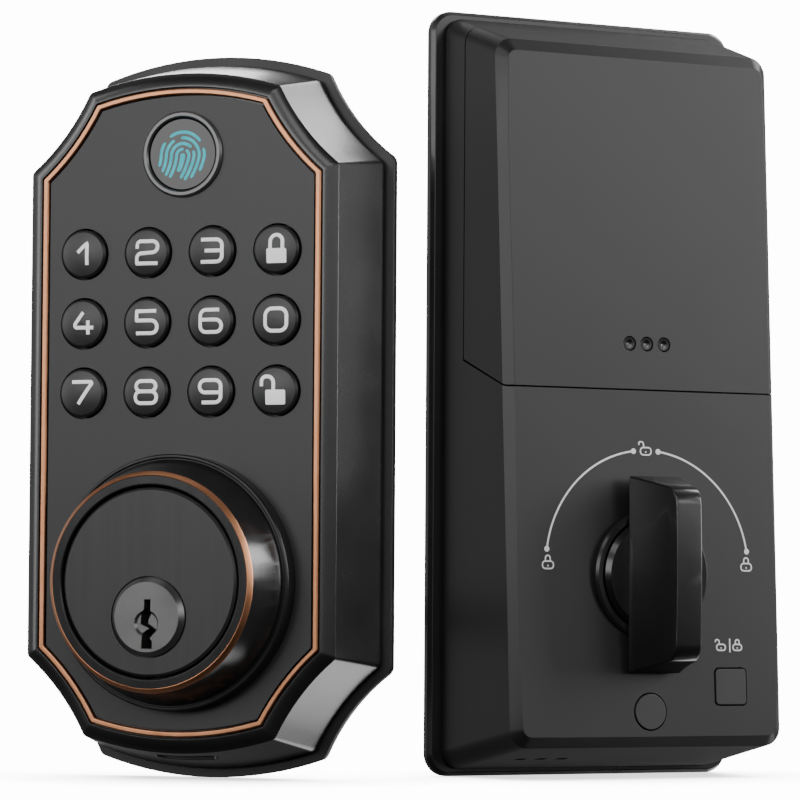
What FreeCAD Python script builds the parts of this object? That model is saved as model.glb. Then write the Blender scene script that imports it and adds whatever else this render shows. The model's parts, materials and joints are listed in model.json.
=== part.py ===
import FreeCAD, Part
import math
import os

# Keypad smart lock, both halves of one lock standing side by side on z = 0.
# The exterior half carries the keypad, the fingerprint reader and the key cylinder.
# The interior half carries the batteries, the motor gear train and the thumbturn.
# Each half is drawn in its own frame: x across, z up, front towards -y, and the door
# behind it. The exterior face plane and the interior door plane are at y = 0.
# All sizes are in millimetres.

# ---- how the two halves stand ----
exterior_turn = -21.0
exterior_place = (-42.2, -48.3)
interior_turn = 28.0
interior_place = (42.0, 0.0)

# ---- exterior outline: arched ends, straight sides, concave scalloped corners ----
face_half_w = 31.7
face_half_h = 67.4
arch_r = 68.0
shoulder_x = 19.4
shoulder_drop = 18.2
scallop_r = 52.0
corner_r = 0.8
corner_r_growth = 0.16

# ---- exterior casing, from the face plane back to the door ----
rim_w = 3.0
rim_depth = 1.4
rim_land = 0.3
wall_draft_w = 3.5
casing_depth = 17.0
casing_wall = 1.9
front_wall = 2.0
groove_depth = 1.6
gasket_w = 8.5
gasket_t = 2.0
gasket_lip = 5.9
gasket_open = -4.0
trim_w = 1.3
trim_proud = 0.25
trim_bevel = 0.25
trim_groove = 0.3
plate_t = 1.05
plate_recess = 0.15
seat_clear = 0.05
rear_plate_t = 2.0
rear_plate_clear = 0.25
slide_gap = 0.3
power_slot_half = 7.0
power_slot_y0 = 3.9
power_slot_y1 = 8.1
power_slot_reach = 9.0
socket_z = 8.3
socket_w = 11.6
socket_h = 8.0
socket_t = 5.4
socket_throat_w = 9.0
socket_throat_t = 3.2
socket_wall = 1.1
socket_tongue_w = 6.6
socket_tongue_t = 0.8
socket_tongue_len = 5.0
cable_window_drop = 16.0
cable_window_half_w = 8.0
cable_window_half_h = 5.0

# ---- keypad ----
key_pitch = 14.5
key_hole_r = 5.4
key_clear = 0.4
key_flange_lip = 0.5
key_flange_t = 0.8
key_proud = 1.25
key_edge = 0.85
key_bevel = 0.45
key_travel = 1.0
top_row_rise = 33.1
key_rows = 3
key_columns = 4
key_names = [
    "key_1", "key_2", "key_3", "key_lock",
    "key_4", "key_5", "key_6", "key_0",
    "key_7", "key_8", "key_9", "key_unlock",
]
membrane_t = 1.2
membrane_margin = 7.0
dome_r = 2.2
dome_h = 0.6
board_t = 1.6
chip_w = 12.0
chip_t = 1.4
chip_x = -14.0
chip_drop = 7.0
leg_count = 8
leg_pitch = 1.45
leg_w = 0.6
leg_t = 0.4
leg_reach = 0.9
plug_socket_w = 12.0
plug_socket_h = 5.5
plug_socket_t = 4.2
plug_socket_wall = 1.0
plug_socket_drop = 24.25
buzzer_x = 17.0
buzzer_drop = 6.0
buzzer_r = 6.2
buzzer_t = 4.4
buzzer_port_r = 0.9

# ---- fingerprint reader ----
reader_x = 0.4
reader_rise = 53.4
reader_ring_r = 9.0
reader_glass_r = 7.6
reader_seat_r = 8.3
reader_proud = 0.7
reader_body_r = 7.1
reader_flange = 18.0
reader_flange_t = 1.4

# ---- key cylinder and its collar ----
cylinder_drop = 35.2
collar_base_r = 26.4
collar_base_h = 4.0
collar_foot_r = 25.1
collar_top_r = 22.6
collar_h = 14.0
collar_bore_r = 19.7
collar_spigot_r = 24.0
collar_ledge_r = 17.5
collar_ledge_t = 2.0
collar_ring_w = 1.0
collar_ring_t = 0.9
collar_bevel = 0.25
head_r = 19.2
plug_drop = 7.1
plug_r = 6.9
plug_fit = 0.05
plug_head_r = 8.05
plug_front_r = 7.2
plug_proud = 1.1
plug_head_sink = 0.7
plug_end = 0.3
dish_r = 2.7
dish_depth = 0.5
dish_drop = 1.3
barrel_r = 10.0
barrel_end = 22.0
chamber_w = 9.0
chamber_h = 15.0
chamber_r = 2.0
pin_count = 4
pin_pitch = 3.9
pin_start = 6.0
pin_r = 1.45
pin_clear = 0.05
pin_gap = 0.3
pin_cap = 2.0
keyway_depth = 24.0
clip_r = 8.4
clip_t = 1.5
clip_notch_w = 3.0
clip_notch_depth = 1.6
tail_w = 7.0
tail_t = 1.6
tail_len = 42.0
tail_foot_r = 4.7
tail_foot_t = 2.0
post_spacing = 41.3
post_r = 3.6
post_len = 12.0
post_thread_r = 2.1
post_thread_depth = 9.0

# ---- interior casing ----
flange_ledge = 2.7
interior_h = 164.0
flange_t = 2.4
flange_r = 5.0
flange_bevel = 0.8
flange_frame = 6.0
neck_inset = 1.2
neck_h = 0.9
cell_side_room = 4.4
case_bottom = 1.5
case_top = 162.5
case_corner_r = 4.0
side_draft = 0.055
top_draft = 0.325
bottom_draft = 0.19
front_top_y = 24.7
front_top_z = 154.3
front_slope = 0.0505
front_chamfer = 2.0
case_wall = 2.0
cover_rear = 10.8
cover_low_z = 82.1
cover_side_z = 88.2
cover_low_y = 27.0
cover_gap = 0.33
bulkhead_t = 1.6
bulkhead_drop = 1.5
vent_x = -17.5
vent_pitch = 5.0
vent_w = 2.4
vent_t = 2.0
vent_y = -15.5
vent_reach = 12.0
grip_x = 0.9
grip_z = 92.1
grip_r = 1.55
grip_pitch = 4.25
grip_pocket = 0.9
mount_plate_t = 2.0
mount_plate_clear = 0.3
bolt_r = 2.0
bolt_shoulder_r = 2.3
bolt_shoulder_end = 0.6
bolt_hole_r = 2.75
bolt_head_r = 4.2
bolt_head_t = 2.0
bolt_edge = 0.8
bolt_slot_w = 1.0
bolt_slot_depth = 0.9
bolt_end = 18.0
case_screw_x = 25.5
case_screw_rows = [14.0, 76.0]
case_screw_hole_r = 1.7
inner_window = [15.0, 26.5, 54.0, 70.0]

# ---- batteries ----
cell_r = 7.25
cell_len = 50.5
cell_pitch = 15.2
cell_count = 4
cell_y = 13.8
cell_z = 96.5
cell_cap_r = 2.75
cell_cap_h = 1.0
tray_wall = 1.5
contact_t = 0.4
contact_gap = 2.2
contact_half_w = 5.0
contact_low = 5.0
contact_high = 4.0
spring_foot_r = 3.2
button_foot_r = 2.0
contact_tip_r = 1.8
tray_front = 14.5
tray_floor = 1.6
tray_end = 8.0
cell_clear = 0.05
rib_w = 1.2

# ---- thumbturn ----
turn_z = 43.1
bezel_r = 13.8
bezel_front = 32.2
turn_base_r = 11.7
turn_base_front = 33.0
turn_gap = 0.35
paddle_foot_y = 33.0
paddle_tip_y = 46.5
paddle_foot_w = 12.8
paddle_tip_w = 6.0
paddle_foot_h = 41.4
paddle_tip_h = 35.2
paddle_corner_r = 4.0
paddle_crown = 0.5
paddle_hollow = 0.7
paddle_edge = 0.5
shaft_r = 4.2
spindle_wall = 1.1
bush_fit = 0.05
bush_r = 9.0
bush_flange_r = 10.2
bush_flange_t = 1.2
spindle_end = 0.2
spindle_root = 5.5
spindle_slot_clear = 0.25

# ---- gear train ----
gear_module = 0.8
drive_teeth = 40
pinion_teeth = 12
wheel_teeth = 36
motor_teeth = 10
pressure_angle = 25.0
addendum = 0.8
dedendum = 1.05
backlash = 0.12
drive_y = 9.0
drive_face = 4.0
wheel_y = 4.6
wheel_face = 3.0
train_x = -14.0
motor_lean = 50.0
axle_r = 1.5
axle_fit = 0.05
axle_over = 1.5
motor_r = 6.0
motor_len = 16.0
motor_shaft_r = 0.9
motor_edge = 0.6
motor_gap = 1.0
motor_face_sink = 1.6
motor_stem = 1.4
hub_w = 2.5
hub_t = 1.5
web_hole_r = 2.3
web_hole_ring = 11.0
web_holes = 5
frame_span = [-29.0, 12.0, 57.0, 81.0]
frame_t = 1.8
cup_wall = 1.3
cup_near = 2.0
cup_far = 7.0
bracket_gap = 3.2
bracket_t = 2.0
bracket_half = 5.0
arm_half = 4.0

# ---- interior buttons ----
square_x = 19.8
square_z = 19.5
square_w = 7.6
square_r = 0.9
round_x = -0.3
round_z = 14.3
round_r = 3.75
button_gap = 0.3
button_travel = 0.6
button_skirt = 1.0
button_skirt_w = 0.9
button_stem_r = 1.2
button_proud = 0.25
switch_w = 6.0
switch_t = 1.6
switch_nub_r = 1.5
switch_nub_t = 0.3
stem_gap = button_travel + slide_gap
main_board_half_w = 29.0
main_board_z0 = 9.5
main_board_z1 = 29.5
board_post_r = 2.0
main_board_y = 22.0

origin = FreeCAD.Vector(0, 0, 0)
along_y = FreeCAD.Vector(0, 1, 0)

straight_half_h = face_half_h - shoulder_drop
gasket_half_h = face_half_h + gasket_w
key_cap_r = key_hole_r - key_clear
key_flange_r = key_hole_r + key_flange_lip
case_half_w = cell_count * cell_pitch / 2 + cell_side_room
flange_half_w = case_half_w + flange_ledge
mid_z = gasket_half_h
top_row_z = mid_z + top_row_rise
reader_z = mid_z + reader_rise
cylinder_z = mid_z - cylinder_drop
cable_window_z = top_row_z - cable_window_drop
chip_z = top_row_z - chip_drop
buzzer_z = top_row_z - buzzer_drop
plug_socket_z = top_row_z - plug_socket_drop
front_wall_y = plate_recess + plate_t
inner_y = front_wall_y + front_wall
key_flange_y = inner_y + slide_gap
key_back_y = key_flange_y + key_flange_t
dome_y = key_back_y + key_travel + slide_gap
membrane_y = dome_y + dome_h
board_y = membrane_y + membrane_t
rear_plate_y = casing_depth - rear_plate_t
plug_z = cylinder_z - plug_drop
boss_x = 27.6
boss_rise = 46.0
boss_r = 2.9
screw_r = 1.25
screw_len = 6.5
screw_head_t = 1.4
screw_slot_w = 0.5
screw_slot_depth = 0.8
screw_tip = 0.6
rear_screw_head_r = 2.4
thread_bite = 0.12
gasket_back = casing_depth + groove_depth + gasket_t


# ---------- small helpers ----------

def point(x, y, z):
    return FreeCAD.Vector(x, y, z)


def box(x0, x1, y0, y1, z0, z1):
    return Part.makeBox(x1 - x0, y1 - y0, z1 - z0, point(x0, y0, z0))


def rod(x, z, r, y0, y1):
    return Part.makeCylinder(r, y1 - y0, point(x, y0, z), along_y)


def turned(profile, x, z):
    """A solid of revolution about the y line through (x, z), from (radius, y) points."""
    ring = [point(x + r, y, z) for r, y in profile]
    wire = Part.makePolygon(ring + [ring[0]])
    return Part.Face(wire).revolve(point(x, 0, z), along_y, 360)


def prism(points, y0, y1):
    """A straight block along y from (x, z) corner points."""
    ring = [point(x, y0, z) for x, z in points]
    wire = Part.makePolygon(ring + [ring[0]])
    return Part.Face(wire).extrude(point(0, y1 - y0, 0))


def side_prism(points, x0, x1):
    """A straight block along x from (y, z) corner points."""
    ring = [point(x0, y, z) for y, z in points]
    wire = Part.makePolygon(ring + [ring[0]])
    return Part.Face(wire).extrude(point(x1 - x0, 0, 0))


def joined(shapes):
    whole = shapes[0]
    for shape in shapes[1:]:
        whole = whole.fuse(shape)
    return whole.removeSplitter()


def slab(wire_at, y0, y1):
    return Part.Face(wire_at(y0)).extrude(point(0, y1 - y0, 0))


def rounded(x0, x1, z0, z1, r, y):
    """A rectangle with round corners in the plane at y."""
    k = r * (1 - math.sqrt(0.5))
    flat = [
        (point(x0 + r, y, z0), point(x1 - r, y, z0)),
        (point(x1, y, z0 + r), point(x1, y, z1 - r)),
        (point(x1 - r, y, z1), point(x0 + r, y, z1)),
        (point(x0, y, z1 - r), point(x0, y, z0 + r)),
    ]
    bends = [point(x1 - k, y, z0 + k), point(x1 - k, y, z1 - k),
             point(x0 + k, y, z1 - k), point(x0 + k, y, z0 + k)]
    edges = []
    for i, (start, end) in enumerate(flat):
        edges.append(Part.LineSegment(start, end).toShape())
        edges.append(Part.Arc(end, bends[i], flat[(i + 1) % 4][0]).toShape())
    return Part.Wire(edges)


def rounded_block(x0, x1, z0, z1, r, y0, y1):
    return slab(lambda y: rounded(x0, x1, z0, z1, r, y), y0, y1)


# ---------- the exterior outline ----------

def unit(x, z):
    size = math.hypot(x, z)
    return x / size, z / size


def along(start, end, distance):
    """The point at a distance from start towards end."""
    ux, uz = unit(end[0] - start[0], end[1] - start[1])
    return start[0] + ux * distance, start[1] + uz * distance


def circles_meet(a, ra, b, rb):
    """The upper of the two points where two circles cross."""
    d = math.hypot(b[0] - a[0], b[1] - a[1])
    t = (ra * ra - rb * rb + d * d) / (2 * d)
    h = math.sqrt(ra * ra - t * t)
    ux, uz = unit(b[0] - a[0], b[1] - a[1])
    foot = (a[0] + ux * t, a[1] + uz * t)
    return max((foot[0] - uz * h, foot[1] + ux * h), (foot[0] + uz * h, foot[1] - ux * h),
               key=lambda p: p[1])


def scallop_centre():
    """The centre of the concave corner arc, outside the face."""
    shoulder = (shoulder_x, face_half_h - arch_r + math.sqrt(arch_r ** 2 - shoulder_x ** 2))
    side = (face_half_w, straight_half_h)
    half = math.hypot(side[0] - shoulder[0], side[1] - shoulder[1]) / 2
    ux, uz = unit(side[0] - shoulder[0], side[1] - shoulder[1])
    reach = math.sqrt(scallop_r ** 2 - half ** 2)
    return ((shoulder[0] + side[0]) / 2 - uz * reach, (shoulder[1] + side[1]) / 2 + ux * reach)


def corner_points(grow):
    """Tangent points and arc middles of one corner, from the arch to the straight side."""
    r = max(corner_r + corner_r_growth * grow, 0.3)
    arch = (0.0, face_half_h - arch_r)
    hollow = scallop_centre()
    arch_radius = arch_r + grow
    hollow_radius = scallop_r - grow
    top = circles_meet(arch, arch_radius - r, hollow, hollow_radius + r)
    side_x = face_half_w + grow - r
    side = (side_x, hollow[1] - math.sqrt((hollow_radius + r) ** 2 - (side_x - hollow[0]) ** 2))
    t1 = along(arch, top, arch_radius)
    t2 = along(hollow, top, hollow_radius)
    t3 = along(hollow, side, hollow_radius)
    t4 = (face_half_w + grow, side[1])
    m12 = along(top, ((t1[0] + t2[0]) / 2, (t1[1] + t2[1]) / 2), r)
    m23 = along(hollow, ((t2[0] + t3[0]) / 2, (t2[1] + t3[1]) / 2), hollow_radius)
    m34 = along(side, ((t3[0] + t4[0]) / 2, (t3[1] + t4[1]) / 2), r)
    return [t1, m12, t2, m23, t3, m34, t4]


def outline(grow, y):
    """The exterior outline in the plane at y, grown outwards by grow."""
    corner = corner_points(grow)
    edges = []

    def at(p, sx, sz):
        return point(sx * p[0], y, mid_z + sz * p[1])

    def bend(a, b, c, sx, sz):
        edges.append(Part.Arc(at(a, sx, sz), at(b, sx, sz), at(c, sx, sz)).toShape())

    for sx, sz in ((1, 1), (-1, -1)):
        for i in (6, 4, 2):
            bend(corner[i], corner[i - 1], corner[i - 2], sx, sz)
        top = (0.0, face_half_h + grow)
        edges.append(Part.Arc(at(corner[0], sx, sz), at(top, sx, sz), at(corner[0], -sx, sz)).toShape())
        for i in (0, 2, 4):
            bend(corner[i], corner[i + 1], corner[i + 2], -sx, sz)
        edges.append(Part.LineSegment(at(corner[6], -sx, sz), at(corner[6], -sx, -sz)).toShape())
    return Part.Wire(edges)


def outline_slab(grow, y0, y1):
    return slab(lambda y: outline(grow, y), y0, y1)


def outline_loft(steps):
    return Part.makeLoft([outline(grow, y) for grow, y in steps], True, True)


# ---------- exterior casing ----------

def wall_grow(y):
    return rim_w + wall_draft_w * (y - rim_depth) / (casing_depth - rim_depth)


def key_places():
    for index, name in enumerate(key_names):
        row, column = divmod(index, key_columns)
        x = (column - (key_columns - 1) / 2) * key_pitch
        yield name, x, top_row_z - row * key_pitch


def boss_places():
    return [(sx * boss_x, mid_z + sz * boss_rise) for sx in (-1, 1) for sz in (-1, 1)]


def power_slot():
    """The rounded slot in the bottom wall, over the emergency power socket."""
    r = (power_slot_y1 - power_slot_y0) / 2
    straight = power_slot_half - r
    slot = box(-straight, straight, power_slot_y0, power_slot_y1, -1, power_slot_reach - 1)
    ends = [Part.makeCylinder(r, power_slot_reach, point(s * straight, power_slot_y0 + r, -1))
            for s in (-1, 1)]
    return joined([slot] + ends)


def exterior_housing():
    outer = outline_loft([(rim_land, 0), (rim_w * 0.62, rim_depth * 0.26), (rim_w, rim_depth),
                          (rim_w + wall_draft_w, casing_depth)])
    cavity = outline_loft([(wall_grow(inner_y) - casing_wall, inner_y),
                           (wall_grow(casing_depth) - casing_wall, casing_depth)])
    shell = outer.cut(cavity)
    shell = shell.cut(outline_slab(0, -1, front_wall_y))
    bosses = [rod(x, z, boss_r, front_wall_y + 0.5, rear_plate_y) for x, z in boss_places()]
    membrane_x = (key_columns - 1) / 2 * key_pitch + membrane_margin - 1.5
    row_gap = top_row_z - key_pitch / 2
    bosses += [box(s * membrane_x - 1, s * membrane_x + 1, front_wall_y + 0.5, membrane_y,
                   row_gap + z - 1, row_gap + z + 1) for s in (-1, 1) for z in (0, -key_pitch)]
    shell = joined([shell] + bosses)
    for name, x, z in key_places():
        shell = shell.cut(rod(x, z, key_hole_r, 0, inner_y + 0.01))
    shell = shell.cut(rod(reader_x, reader_z, reader_body_r + seat_clear, 0, inner_y + 1))
    shell = shell.cut(rod(0, cylinder_z, collar_spigot_r + seat_clear, 0, inner_y + 1))
    for x, z in boss_places():
        shell = shell.cut(rod(x, z, screw_r - 0.1, rear_plate_y - 6, rear_plate_y + 1))
    return shell.cut(power_slot())


def bezel_trim():
    """A bead of copper colour in the groove round the face, with a gap on each side of it."""
    outer = -trim_groove
    inner = outer - trim_w
    ring = outline_loft([(outer - trim_bevel, -trim_proud), (outer, 0), (outer, front_wall_y)])
    hole = outline_loft([(inner + trim_bevel, -trim_proud - 0.01), (inner, 0), (inner, front_wall_y + 0.01)])
    return ring.cut(hole)


def face_plate():
    plate = outline_slab(-trim_w - 2 * trim_groove, plate_recess, front_wall_y)
    for name, x, z in key_places():
        plate = plate.cut(rod(x, z, key_hole_r, 0, 2))
    plate = plate.cut(rod(reader_x, reader_z, reader_seat_r, 0, 2))
    return plate.cut(rod(0, cylinder_z, collar_spigot_r + seat_clear, 0, 2))


def door_gasket():
    lip = outline_slab(gasket_lip, casing_depth, casing_depth + groove_depth)
    pad = outline_slab(gasket_w, casing_depth + groove_depth, gasket_back)
    gasket = joined([lip, pad]).cut(outline_slab(gasket_open, casing_depth - 1, gasket_back + 1))
    for x, z in boss_places():
        gasket = gasket.cut(rod(x, z, rear_screw_head_r + slide_gap, casing_depth - 1, gasket_back + 1))
    return gasket


def rear_plate():
    low = wall_grow(rear_plate_y) - casing_wall - rear_plate_clear
    high = wall_grow(casing_depth) - casing_wall - rear_plate_clear
    plate = outline_loft([(low, rear_plate_y), (high, casing_depth)])
    plate = plate.cut(barrel_blank(seat_clear, rear_plate_y - 1, casing_depth + 1))
    for x in bolt_places():
        plate = plate.cut(rod(x, plug_z, post_r - 0.8, rear_plate_y - 1, casing_depth + 1))
    for x, z in boss_places():
        plate = plate.cut(rod(x, z, screw_r + 0.15, rear_plate_y - 1, casing_depth + 1))
    window = rounded_block(-cable_window_half_w, cable_window_half_w, cable_window_z - cable_window_half_h,
                           cable_window_z + cable_window_half_h, 3, rear_plate_y - 1, casing_depth + 1)
    return plate.cut(window)


# ---------- keypad ----------

def key_cap(x, z):
    """A key with a barely domed top, a bevelled edge and a flange that holds it in."""
    rise = key_proud - key_edge
    crown_r = key_cap_r - key_bevel
    dome_radius = (crown_r ** 2 + rise ** 2) / (2 * rise)
    steps = 8
    crown = []
    for i in range(steps + 1):
        r = crown_r * i / steps
        crown.append((r, -key_proud + dome_radius - math.sqrt(dome_radius ** 2 - r * r)))
    side = [(key_cap_r, -key_edge + key_bevel), (key_cap_r, key_flange_y),
            (key_flange_r, key_flange_y), (key_flange_r, key_back_y), (0, key_back_y)]
    return turned(crown + side, x, z)


def keypad_span(margin):
    half_w = (key_columns - 1) / 2 * key_pitch + margin
    return -half_w, half_w, top_row_z - (key_rows - 1) * key_pitch - margin, top_row_z + margin


def keypad_membrane():
    x0, x1, z0, z1 = keypad_span(membrane_margin)
    sheet = rounded_block(x0, x1, z0, z1, 2, membrane_y, board_y)
    domes = [Part.makeCone(dome_r, dome_r - 0.6, dome_h, point(x, membrane_y, z), -along_y)
             for name, x, z in key_places()]
    return joined([sheet] + domes)


def keypad_board():
    x0, x1, z0, z1 = keypad_span(membrane_margin)
    return rounded_block(x0, x1, z0, z1 + 2, 1.5, board_y, board_y + board_t)


def keypad_processor():
    y = board_y + board_t
    half = chip_w / 2
    chip = box(chip_x - half, chip_x + half, y, y + chip_t, chip_z - half, chip_z + half)
    first = chip_z - (leg_count - 1) / 2 * leg_pitch - leg_w / 2
    legs = [box(chip_x - half - leg_reach, chip_x + half + leg_reach, y, y + leg_t,
                first + i * leg_pitch, first + i * leg_pitch + leg_w) for i in range(leg_count)]
    return joined([chip] + legs)


def keypad_cable_socket():
    y = board_y + board_t
    half_w = plug_socket_w / 2
    half_h = plug_socket_h / 2
    wall = plug_socket_wall
    shell = box(-half_w, half_w, y, y + plug_socket_t, plug_socket_z - half_h, plug_socket_z + half_h)
    return shell.cut(box(-half_w + wall, half_w - wall, y + wall, y + plug_socket_t + 1,
                         plug_socket_z - half_h + wall, plug_socket_z + half_h - wall))


def buzzer():
    y = board_y + board_t
    edge = 0.4
    return turned([(buzzer_port_r, y), (buzzer_r, y), (buzzer_r, y + buzzer_t - edge),
                   (buzzer_r - edge, y + buzzer_t), (buzzer_port_r, y + buzzer_t)], buzzer_x, buzzer_z)


def emergency_power_socket():
    """A power inlet that opens down through the slot in the bottom wall."""
    half = socket_w / 2
    body = rounded_block(-half, half, socket_z, socket_z + socket_h, 1, inner_y, inner_y + socket_t)
    throat_y = inner_y + socket_wall
    throat = box(-socket_throat_w / 2, socket_throat_w / 2, throat_y, throat_y + socket_throat_t,
                 socket_z - 1, socket_z + socket_h - 2)
    tongue_y = throat_y + (socket_throat_t - socket_tongue_t) / 2
    top = socket_z + socket_h - 2
    tongue = box(-socket_tongue_w / 2, socket_tongue_w / 2, tongue_y, tongue_y + socket_tongue_t,
                 top - socket_tongue_len, top)
    return joined([body.cut(throat), tongue])


# ---------- fingerprint reader ----------

def fingerprint_ring():
    front = -reader_proud
    edge = reader_ring_r
    profile = [(reader_glass_r + seat_clear, front + 0.35), (reader_glass_r + 0.35, front),
               (edge - 0.45, front), (edge, front + 0.45), (edge, plate_recess),
               (reader_seat_r - seat_clear, plate_recess), (reader_seat_r - seat_clear, front_wall_y),
               (reader_glass_r + seat_clear, front_wall_y)]
    return turned(profile, reader_x, reader_z)


def fingerprint_glass():
    profile = [(0, -0.05), (reader_glass_r - 0.3, -0.05), (reader_glass_r, 0.15),
               (reader_glass_r, front_wall_y - 0.2), (0, front_wall_y - 0.2)]
    return turned(profile, reader_x, reader_z)


def fingerprint_sensor():
    half = reader_flange / 2
    stem = rod(reader_x, reader_z, reader_body_r, front_wall_y - 0.2, inner_y)
    back = rounded_block(reader_x - half, reader_x + half, reader_z - half, reader_z + half, 2,
                         inner_y, inner_y + reader_flange_t)
    chip = box(reader_x - 4, reader_x + 4, inner_y + reader_flange_t, inner_y + reader_flange_t + 1.2,
               reader_z - 5, reader_z + 3)
    return joined([stem, back, chip])


# ---------- key cylinder ----------

def cylinder_collar():
    """A flared collar with a flat foot; its front corner is cut back for the trim ring."""
    top = -collar_h
    base = -collar_base_h
    ring_in = collar_top_r - collar_ring_w
    back = inner_y + 1
    profile = [
        (collar_bore_r, back - collar_ledge_t), (collar_bore_r, top + collar_bevel),
        (collar_bore_r + collar_bevel, top), (ring_in, top), (ring_in, top + collar_ring_t),
        (collar_top_r, top + collar_ring_t), (collar_foot_r, base), (collar_foot_r + 0.15, base + 0.3),
        (collar_base_r - 0.9, base + 0.3), (collar_base_r - 0.7, base), (collar_base_r - 0.25, base),
        (collar_base_r, base + 0.35), (collar_base_r, plate_recess), (collar_spigot_r, plate_recess),
        (collar_spigot_r, back), (collar_ledge_r, back), (collar_ledge_r, back - collar_ledge_t),
    ]
    return turned(profile, 0, cylinder_z)


def collar_trim_ring():
    """The sloping ring of copper colour on the collar's front corner."""
    top = -collar_h
    ring_in = collar_top_r - collar_ring_w
    profile = [(ring_in, top + collar_ring_t), (ring_in, top), (ring_in + 0.1, top - 0.05),
               (collar_top_r - 0.08, top + collar_ring_t - 0.2), (collar_top_r, top + collar_ring_t)]
    return turned(profile, 0, cylinder_z)


def barrel_blank(grow, y0, y1):
    """The round barrel and the pin chamber above it."""
    barrel = rod(0, plug_z, barrel_r + grow, y0, y1)
    half = chamber_w / 2 + grow
    chamber = rounded_block(-half, half, plug_z, plug_z + chamber_h + grow, chamber_r, y0, y1)
    return joined([barrel, chamber])


def pin_column(r, low):
    """Round pins in a row along the barrel, from a height up to their chamber's top."""
    high = plug_z + chamber_h - pin_cap
    return [Part.makeCylinder(r, high - low, point(0, pin_start + i * pin_pitch, low))
            for i in range(pin_count)]


def lock_cylinder():
    seat = inner_y + 1 - collar_ledge_t
    top = -collar_h
    edge = 0.5
    head = turned([(0, seat), (0, top), (head_r - edge, top), (head_r, top + edge), (head_r, seat)],
                  0, cylinder_z)
    body = joined([head, barrel_blank(0, seat - 1, barrel_end)])
    pocket_depth = plug_head_sink + slide_gap
    body = body.cut(rod(0, plug_z, plug_head_r + slide_gap, top - 1, top + pocket_depth))
    body = body.cut(rod(0, plug_z, plug_r + plug_fit, top, barrel_end + 1))
    for pin in pin_column(pin_r + pin_clear, plug_z):
        body = body.cut(pin)
    return body


def pin_stacks():
    """Driver pins above the plug, resting just clear of it."""
    return Part.makeCompound(pin_column(pin_r, plug_z + plug_r + pin_gap))


def keyway_outline():
    """The wavy keyway, as (across, up) steps from the plug's centre."""
    right = [(1.3, -6.4), (1.3, -4.9), (0.8, -4.3), (1.6, -3.4), (1.9, -2.4), (0.3, -1.3), (0.3, -0.5),
             (0.9, 0.6), (0.9, 3.6)]
    left = [(-0.5, 3.6), (-0.5, 1.7), (-1.3, 0.7), (-1.5, -1.4), (0.5, -2.3), (-0.9, -3.1), (-1.1, -6.4)]
    return [(x, plug_z + z) for x, z in right + left]


def key_plug():
    """The plug; its bevelled head stands a little proud of the cylinder's face."""
    front = -collar_h - plug_proud
    head_y = -collar_h + plug_head_sink
    head = turned([(0, front), (plug_front_r - 0.1, front), (plug_front_r, front + 0.1),
                   (plug_head_r, -collar_h - 0.1), (plug_head_r, head_y), (0, head_y)], 0, plug_z)
    body = joined([head, rod(0, plug_z, plug_r, front + 0.5, barrel_end + plug_end)])
    dish = Part.makeCone(dish_r, dish_r - dish_depth, dish_depth,
                         point(0, front - 0.01, plug_z - dish_drop), along_y)
    return body.cut(dish).cut(prism(keyway_outline(), front - 1, front + keyway_depth))


def plug_clip():
    y = barrel_end + plug_end
    disc = rod(0, plug_z, clip_r, y, y + clip_t)
    half = clip_notch_w / 2
    return disc.cut(box(clip_r - clip_notch_depth, clip_r + 1, y - 1, y + clip_t + 1,
                        plug_z - half, plug_z + half))


def tailpiece():
    y = barrel_end + plug_end + clip_t
    foot = rod(0, plug_z, tail_foot_r, y, y + tail_foot_t)
    tip = y + tail_len
    blade = box(-tail_t / 2, tail_t / 2, y, tip, plug_z - tail_w / 2, plug_z + tail_w / 2)
    nick = tail_w / 6
    blade = blade.cut(box(-tail_t, tail_t, tip - 2, tip + 1, plug_z + tail_w / 2 - nick, plug_z + tail_w))
    return joined([foot, blade])


def mounting_posts():
    posts = []
    for x in bolt_places():
        stem = rod(x, plug_z, post_r, casing_depth, casing_depth + post_len)
        rivet = rod(x, plug_z, post_r - 0.85, rear_plate_y, casing_depth)
        hole = rod(x, plug_z, post_thread_r, casing_depth + post_len - post_thread_depth,
                   casing_depth + post_len + 1)
        posts.append(joined([stem, rivet]).cut(hole))
    return Part.makeCompound(posts)


def pan_screw(x, z, y):
    """A cross-slotted screw driven from the door side, its head seated at y."""
    r = screw_r - thread_bite
    edge = 0.5
    profile = [(0, y + screw_head_t), (rear_screw_head_r - edge, y + screw_head_t),
               (rear_screw_head_r, y + screw_head_t - edge), (rear_screw_head_r, y), (r, y),
               (r, y - screw_len + screw_tip), (r - edge, y - screw_len), (0, y - screw_len)]
    screw = turned(profile, x, z)
    wide = rear_screw_head_r / 2 + 0.2
    thin = screw_slot_w / 2
    floor = y + screw_head_t - screw_slot_depth
    for half_x, half_z in ((wide, thin), (thin, wide)):
        screw = screw.cut(box(x - half_x, x + half_x, floor, floor + 2, z - half_z, z + half_z))
    return screw


def rear_plate_screws():
    return Part.makeCompound([pan_screw(x, z, casing_depth) for x, z in boss_places()])


# ---------- interior casing ----------

def front_n(z):
    """How far the sloping front stands from the door at height z."""
    return front_top_y + (front_top_z - z) * front_slope


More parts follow.
